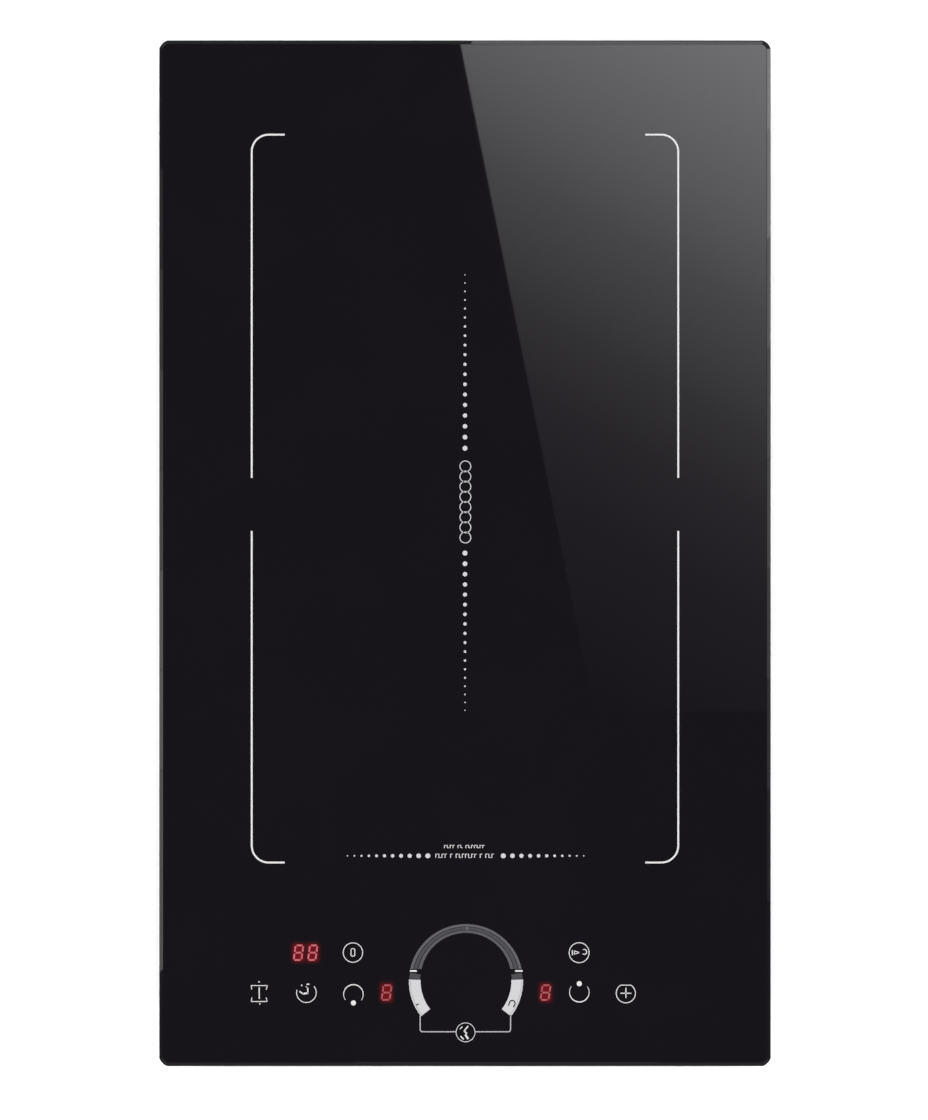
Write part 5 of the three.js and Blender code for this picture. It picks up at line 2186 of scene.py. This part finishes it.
@dataclass
class CoilLead:
    """A sleeved lead from the power board up into a coil's middle.

    Attributes:
        place: rear or front.
        start: where it leaves the board, in Y.
        middle: the coil's middle in Y.
        radius: the sleeve's radius.
        keep: how much of its height is left at the joint's limit; not used.
    """

    place: str
    start: float
    middle: float
    radius: float = 1.5
    keep: float = 0.92

    def build(self) -> None:
        """Lays the lead on a smooth line."""
        node = "coil_lead_" + self.place
        low, high = span(node)
        way = math.copysign(1.0, self.middle - self.start)
        route = [
            (60, self.start, low.z),
            (60, self.start, 18),
            (48, self.start + way * 8, 30),
            (20, self.middle - way * 3, 35.5),
            (9.5, self.middle, 37.5),
            (8.5, self.middle, 41),
            (8.5, self.middle, high.z),
        ]
        lead = tube(node + "_sleeved", smooth_line(route, 6), self.radius, 3)
        fitted(lead, SLEEVE, node)
        foot = metres(*route[0])
        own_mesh(lead)


@dataclass
class CoilSupport:
    """What carries the coils: three crossbars, six springs and the coils' leads.

    Attributes:
        crossbars: the crossbars.
        leads: the coils' leads.
    """

    crossbars: tuple[str, ...] = ("crossbar_rear", "crossbar_middle", "crossbar_front")
    leads: tuple[CoilLead, ...] = (CoilLead("rear", 50.0, 120.0), CoilLead("front", -106.0, -64.0))

    def build(self, nodes: dict[str, Thing]) -> None:
        """Makes the crossbars, the springs and the leads."""
        for name in self.crossbars:
            Remade(name, name + "_pressed", ZINC, 0.3).build(nodes)
        for name in sorted(node for node in nodes if node.startswith("coil_spring")):
            CoilSpring(name, "coil_press_" + name.split("_")[2]).build()
        for lead in self.leads:
            lead.build()


# ---------------------------------------------------------------- electronics


@dataclass
class PowerBoard:
    """The power electronics on their board, in a plastic carrier.

    Attributes:
        top: the height of the board's face.
        screw: the radius of the package screws' heads.
        choke_at: the choke's middle.
        choke_ring: the radius of its ring and of the ring's section.
        remade: the CAD nodes that are made again with rounded edges.
        cans: the middle, radius and height of each can capacitor.
        plugs: the middle, width, depth and height of each plug.
        chips: those of the relays and chips.
    """

    top: float = 8.1
    screw: float = 2.6
    choke_at: Place = (88.0, -104.0)
    choke_ring: Place = (15.0, 4.5)
    remade: tuple[Remade, ...] = (
        Remade("board_carrier", "board_carrier_moulded", BLACK_PLASTIC, 0.3),
        Remade("power_board", "power_board_lacquered", BOARD_GREEN, 0.1),
        Remade("heatsink", "heatsink_extruded", ALUMINIUM, 0.25),
    )
    cans: tuple[tuple[float, ...], ...] = (
        (-20, -124, 6.2, 20), (2, -128, 5.0, 16), (-24, -100, 5.0, 16), (96, -58, 5.0, 14),
    )
    plugs: tuple[tuple[float, ...], ...] = (
        (60, 50, 9, 7, 7), (60, -106, 9, 7, 7), (60, -138, 16, 6, 8), (104, 72, 8, 14, 9),
    )
    chips: tuple[tuple[float, ...], ...] = (
        (70, 10, 19, 15, 15.5), (98, 10, 19, 15, 15.5), (84, 44, 12, 12, 1.6), (84, 66, 7, 5, 1.6),
        (-22, 40, 8, 6, 2), (-22, 10, 8, 6, 2), (-24, -20, 6, 10, 2), (104, -26, 8, 6, 2),
        (30, -52, 10, 6, 3), (-20, -56, 9, 5, 4),
    )

    def build(self, nodes: dict[str, Thing]) -> None:
        """Makes the carrier, the board, the heatsink and the components."""
        for part in self.remade:
            part.build(nodes)
        for name in ("power_transistor_rear", "power_transistor_front", "bridge_rectifier"):
            self.package(name)
        for name in ("resonance_capacitor", "smoothing_capacitor"):
            self.film_capacitor(name)
        self.choke()
        self.small_parts()

    def package(self, name: str) -> None:
        """Makes a flat package on the heatsink's wall with its legs and its screw.

        Args:
            name: the CAD node that it stands for.
        """
        low, high = span(name)
        y = middle_of(name)[1]
        body = block("body", (low.x, low.y, self.top + 3), tuple(high), 0.35)
        with editing(body):
            press(lambda normal: normal.x > 0.9, 0.5, (0.25, 0, 0))
        body.name = name + "_moulded"
        fitted(flat_smooth(body, 30), EPOXY, name)
        legs = [
            block("leg", (low.x + 1.8, at - 0.6, low.z), (low.x + 2.8, at + 0.6, self.top + 3.4), 0.15)
            for at in (y - 5, y, y + 5)
        ]
        profile = [(0, 0), (self.screw, 0), (self.screw, 1.2), (self.screw - 0.6, 1.8), (0, 1.9)]
        head = turned("head", profile, sides=24)
        carved(head, [block("cut", (-1.8, -0.3, 1.2), (1.8, 0.3, 3))])
        placed(head, (0, math.pi / 2, 0), (high.x + 0.2, y, self.top + 11.5))
        legs.append(smooth(head))
        fitted(joined(name + "_legs_and_screw", legs), ZINC)

    def film_capacitor(self, name: str) -> None:
        """Makes a box capacitor with a shallow panel in its top.

        Args:
            name: the CAD node that it stands for.
        """
        low, high = span(name)
        box = block(name + "_box", tuple(low), tuple(high))
        with editing(box):
            press(looks_up, 1.6, (0, 0, -0.35))
        fitted(flat_smooth(rounded(box, 0.6, 3, 30), 30), CAPACITOR, name)

    def choke(self) -> None:
        """Makes the choke: a ring core with two windings."""
        x, y = self.choke_at
        ring, section = self.choke_ring
        middle = self.top + 6.3
        profile = [around((ring, middle), section, i / 16) for i in range(17)]
        core = turned("mains_choke_core", profile, (x, y), 48)
        fitted(smooth(core, 60), FERRITE)
        cleared()
        bpy.ops.mesh.primitive_torus_add(
            major_radius=(section + 0.75) * MM,
            minor_radius=0.7 * MM,
            major_segments=20,
            minor_segments=8,
            location=metres(x + ring, y, middle),
            rotation=(math.pi / 2, 0, 0),
        )
        loop = smooth(named("loop"), 60)
        angles = [side + 11.5 * step for side in (0, 180) for step in range(-6, 7)]
        loops = [copied(loop, "loop", turn=angle, about=(x, y)) for angle in angles]
        bpy.data.objects.remove(loop)
        fitted(joined("mains_choke_windings", loops), ENAMELLED, "mains_choke")

    def small_parts(self) -> None:
        """Adds the can capacitors, plugs, relays and chips around the large parts."""
        z = self.top
        cans = []
        for x, y, radius, height in self.cans:
            can = drum("can", (x, y), radius, z, z + height, 32, 0.8)
            rib = [(radius - 0.5, z + 2.4), (radius + 0.3, z + 2.9), (radius - 0.5, z + 3.4)]
            cans += [smooth(can, 40), smooth(turned("rib", [*rib, rib[0]], (x, y), 32), 60)]
        fitted(joined("board_cans", cans), CAN_SLEEVE)
        plugs = []
        for row in self.plugs:
            plug = self.on_board("plug", row)
            with editing(plug):
                press(looks_up, 0.8, (0, 0, -3))
            plugs.append(rounded(plug, 0.25, 2, 50))
        fitted(flat_smooth(joined("board_plugs", plugs), 30), WHITE_PLASTIC)
        chips = [self.on_board("chip", row, 0.35) for row in self.chips]
        fitted(flat_smooth(joined("board_chips", chips), 30), EPOXY)
        tiny = []
        for i in range(9):
            for j in range(4):
                tiny.append(self.on_board("tiny", (68 + 4.6 * i, 20 + 3.4 * j, 2.0, 1.2, 0.7), 0.15))
                tiny.append(self.on_board("tiny", (-36 + 2.4 * j, -40 + 5.5 * i, 1.2, 2.0, 0.7), 0.15))
        fitted(joined("board_small_parts", tiny), FERRITE)

    def on_board(self, name: str, row: Sequence[float], edge: float = 0.0) -> Thing:
        """A box that stands on the board.

        Args:
            name: the object's name.
            row: its middle, width, depth and height.
            edge: the radius of its edges, or 0 to leave them sharp.

        Returns:
            The box.
        """
        x, y, width, depth, height = row
        low = (x - width / 2, y - depth / 2, self.top)
        return block(name, low, (x + width / 2, y + depth / 2, self.top + height), edge)


@dataclass
class Blower:
    """The blower beside the rear coil.

    Attributes:
        shaft: the rotor's axis.
        cap: the radius of the motor's cap.
        remade: the CAD nodes that are made again with rounded edges.
    """

    shaft: Place = (-68.0, 150.0)
    cap: float = 12.0
    remade: tuple[Remade, ...] = (
        Remade("fan_scroll", "fan_scroll_moulded", BLACK_PLASTIC, 0.4),
        Remade("fan_cover", "fan_cover_moulded", BLACK_PLASTIC, 0.3),
        Remade("fan_rotor", "fan_rotor_moulded", BLACK_PLASTIC, 0.2, body="fan_wheel"),
    )

    def build(self, nodes: dict[str, Thing]) -> None:
        """Makes the scroll, its lid, the rotor and the motor's cap."""
        for part in self.remade:
            part.build(nodes)
        r, top, (x, y) = self.cap, span("fan_cover")[1].z, self.shaft
        profile = [(3.4, top - 0.1), (r, top - 0.1), (r, top + 0.3), (r - 0.8, top + 0.7)]
        profile += [(4.2, top + 0.8), (3.4, top + 0.6)]
        cap = turned("fan_motor_cap", [*profile, profile[0]], self.shaft, 48)
        fitted(smooth(cap, 30), BLACK_PLASTIC)
        strut = block("strut", (x + r - 1, y - 1.2, top - 0.1), (x + 30, y + 1.2, top + 0.7))
        ribs = ring_of(rounded(strut, 0.3, 2, 50), "fan_lid_ribs", 6, self.shaft, 30)
        fitted(flat_smooth(ribs, 30), BLACK_PLASTIC)


@dataclass
class TouchControl:
    """The touch board under the glass, in its white holder.

    Attributes:
        springs: the middles of the touch springs, one under each key.
        wires: how many wires the ribbon has.
        pitch: from one wire to the next.
        remade: the CAD nodes that are made again with rounded edges.
    """

    springs: tuple[Place, ...] = (
        (-56.8, -202.4), (-104.4, -223.3), (-80.3, -222.9), (-56.5, -223.5), (57.8, -202.5), (58.0, -222.7),
        (81.7, -223.3),
    )
    wires: int = 11
    pitch: float = 1.27
    remade: tuple[Remade, ...] = (
        Remade("control_holder", "control_holder_moulded", WHITE_PLASTIC, 0.35),
        Remade("control_board", "control_board_lacquered", BOARD_GREEN, 0.1),
        Remade("timer_display", "timer_display_window", SMOKED, 0.4, 3),
        Remade("left_zone_display", "left_zone_display_window", SMOKED, 0.4, 3),
        Remade("right_zone_display", "right_zone_display_window", SMOKED, 0.4, 3),
        Remade("slider_light_guide", "slider_light_guide_moulded", GUIDE, 0.5, 3),
    )

    def build(self, nodes: dict[str, Thing]) -> None:
        """Makes the holder, the board, the displays, the light guide, the springs and the ribbon."""
        for part in self.remade:
            part.build(nodes)
        board_top, glass_bottom = span("control_board")[1].z, span("glass_panel")[0].z
        coils = [helix("spring", at, 3.0, 0.3, board_top, glass_bottom - 0.2, 5) for at in self.springs]
        fitted(joined("touch_springs", coils), SPRING_STEEL)
        self.ribbon()

    def ribbon(self) -> None:
        """Lays the ribbon's wires side by side along one smooth line."""
        line = [(-138.0, 9.0), (-138.0, 15.0), (-152.0, 22.0), (-180.0, 32.0), (-197.6, 41.0), (-198.0, 49.5)]
        first = middle_of("ribbon_cable")[0] - self.pitch * (self.wires - 1) / 2
        strands = []
        for i in range(self.wires):
            route = smooth_line([(first + self.pitch * i, y, z) for y, z in line], 5)
            strands.append(tube("strand", route, 0.5, 1))
        fitted(joined("ribbon_cable_wires", strands), RIBBON, "ribbon_cable")


@dataclass
class MainsConnection:
    """The wiring box in the back wall with its lid, its terminals and the cable bush.

    Attributes:
        poles: how many terminals there are.
        pitch: from one terminal to the next.
        bore: the bush's bore.
        flange: the radius of its lips.
        body: its radius in the wall.
        sheet: the wall's thickness.
        remade: the CAD nodes that are made again with rounded edges.
    """

    poles: int = 4
    pitch: float = 13.0
    bore: float = 4.6
    flange: float = 11.0
    body: float = 8.0
    sheet: float = 1.0
    remade: tuple[Remade, ...] = (
        Remade("terminal_box", "terminal_box_moulded", BLACK_PLASTIC, 0.4),
        Remade("terminal_block", "terminal_block_moulded", WHITE_PLASTIC, 0.3),
        Remade("terminal_cover", "terminal_lid_moulded", BLACK_PLASTIC, 0.4, 3, "wiring_lid"),
    )

    def build(self, nodes: dict[str, Thing]) -> None:
        """Makes the box, the terminal block with its screws, the lid and the bush."""
        for part in self.remade:
            part.build(nodes)
        self.screws()
        self.lid_ribs()
        self.bush()

    def screws(self) -> None:
        """Makes the slotted screws in the terminal block's wells."""
        middle, y, _ = middle_of("terminal_block")
        first, foot = middle - self.pitch * (self.poles - 1) / 2, span("terminal_block")[0].z + 8
        profile = [(0, foot), (2.7, foot), (2.7, foot + 2.2), (2.3, foot + 2.7), (0, foot + 2.8)]
        heads = []
        for i in range(self.poles):
            x = first + self.pitch * i
            slot = block("cut", (x - 3, y - 0.35, foot + 1.7), (x + 3, y + 0.35, foot + 4))
            heads.append(carved(turned("head", profile, (x, y), 24), [slot]))
        fitted(smooth(joined("terminal_screws", heads), 35), ZINC)

    def lid_ribs(self) -> None:
        """Adds finger ribs to the lid's outside."""
        x, face = middle_of("terminal_cover")[0], span("terminal_cover")[1].y
        ribs = [
            block("rib", (x - 9, face - 0.2, z - 0.5), (x + 9, face + 0.5, z + 0.5), 0.3)
            for z in (14.0, 16.2, 18.4)
        ]
        fitted(flat_smooth(joined("terminal_lid_ribs", ribs), 30), BLACK_PLASTIC, body="wiring_lid")

    def bush(self) -> None:
        """Makes the cable bush: a turned grommet with a lip on each side of the wall."""
        r, bore, gap = self.flange, self.bore, 0.15
        inside = -self.sheet - gap
        profile = [(bore, -5.6), (bore + 0.4, -6), (r - 2, -6), (r - 0.6, -5.4), (r, -4.5), (r, inside)]
        profile += [(self.body, inside), (self.body, gap), (r, gap), (r, 0.7), (r - 0.8, 1.3), (r - 1.6, 1.4)]
        profile += [(bore + 1.6, 1.4), (bore + 1.0, 0.7), (bore, 0.2)]
        bush = turned("cable_bush", [*profile, profile[0]], sides=48)
        x, _, z = middle_of("cable_gland")
        placed(bush, (-math.pi / 2, 0, 0), (x, span("base_tray")[1].y, z))
        fitted(smooth(bush), RUBBER, "cable_gland")


# ---------------------------------------------------------------- the whole cooktop


def dress_nodes(nodes: dict[str, Thing], record: dict) -> None:
    """Gives every CAD node that still shows the finish of its material slot.

    Args:
        nodes: the CAD nodes.
        record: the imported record.
    """
    slots = {row["node"]: row["material_slot"] for row in record["subparts"]}
    for name, node in nodes.items():
        for slot in node.material_slots:
            if slots[name] in NODE_FINISHES:
                slot.material = NODE_FINISHES[slots[name]].material()
        if not node.hide_render:
            LOG.info("%s stays as it is", name)


def main() -> None:
    """Builds the studio and the cooktop, piece by piece."""
    logging.basicConfig(level=logging.INFO, format="%(name)s %(message)s")
    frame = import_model()
    nodes = frame["nodes"]
    Studio().build()
    printer = Printer(top=span("glass_panel")[1].z)
    digits = LitDigits(printer)
    prints = (CookingZonePrint(printer), SliderPrint(printer), KeyPrints(printer), digits)
    for part in (GlassPlate(digits.halos()), *prints, Seal(), Tray()):
        part.build()
        LOG.info("built %s", type(part).__name__)
    clamps = (Clamp(place) for place in CLAMP_PLACES)
    coils = (CoilUnit("rear", 120.0), CoilUnit("front", -64.0))
    electrics = (CoilSupport(), PowerBoard(), Blower(), TouchControl(), MainsConnection())
    for part in (RIM, CaseScrews(), *clamps, *coils, *electrics):
        part.build(nodes)
        LOG.info("built %s", type(part).__name__)
    dress_nodes(nodes, frame["record"])


if __name__ == "__main__":
    main()
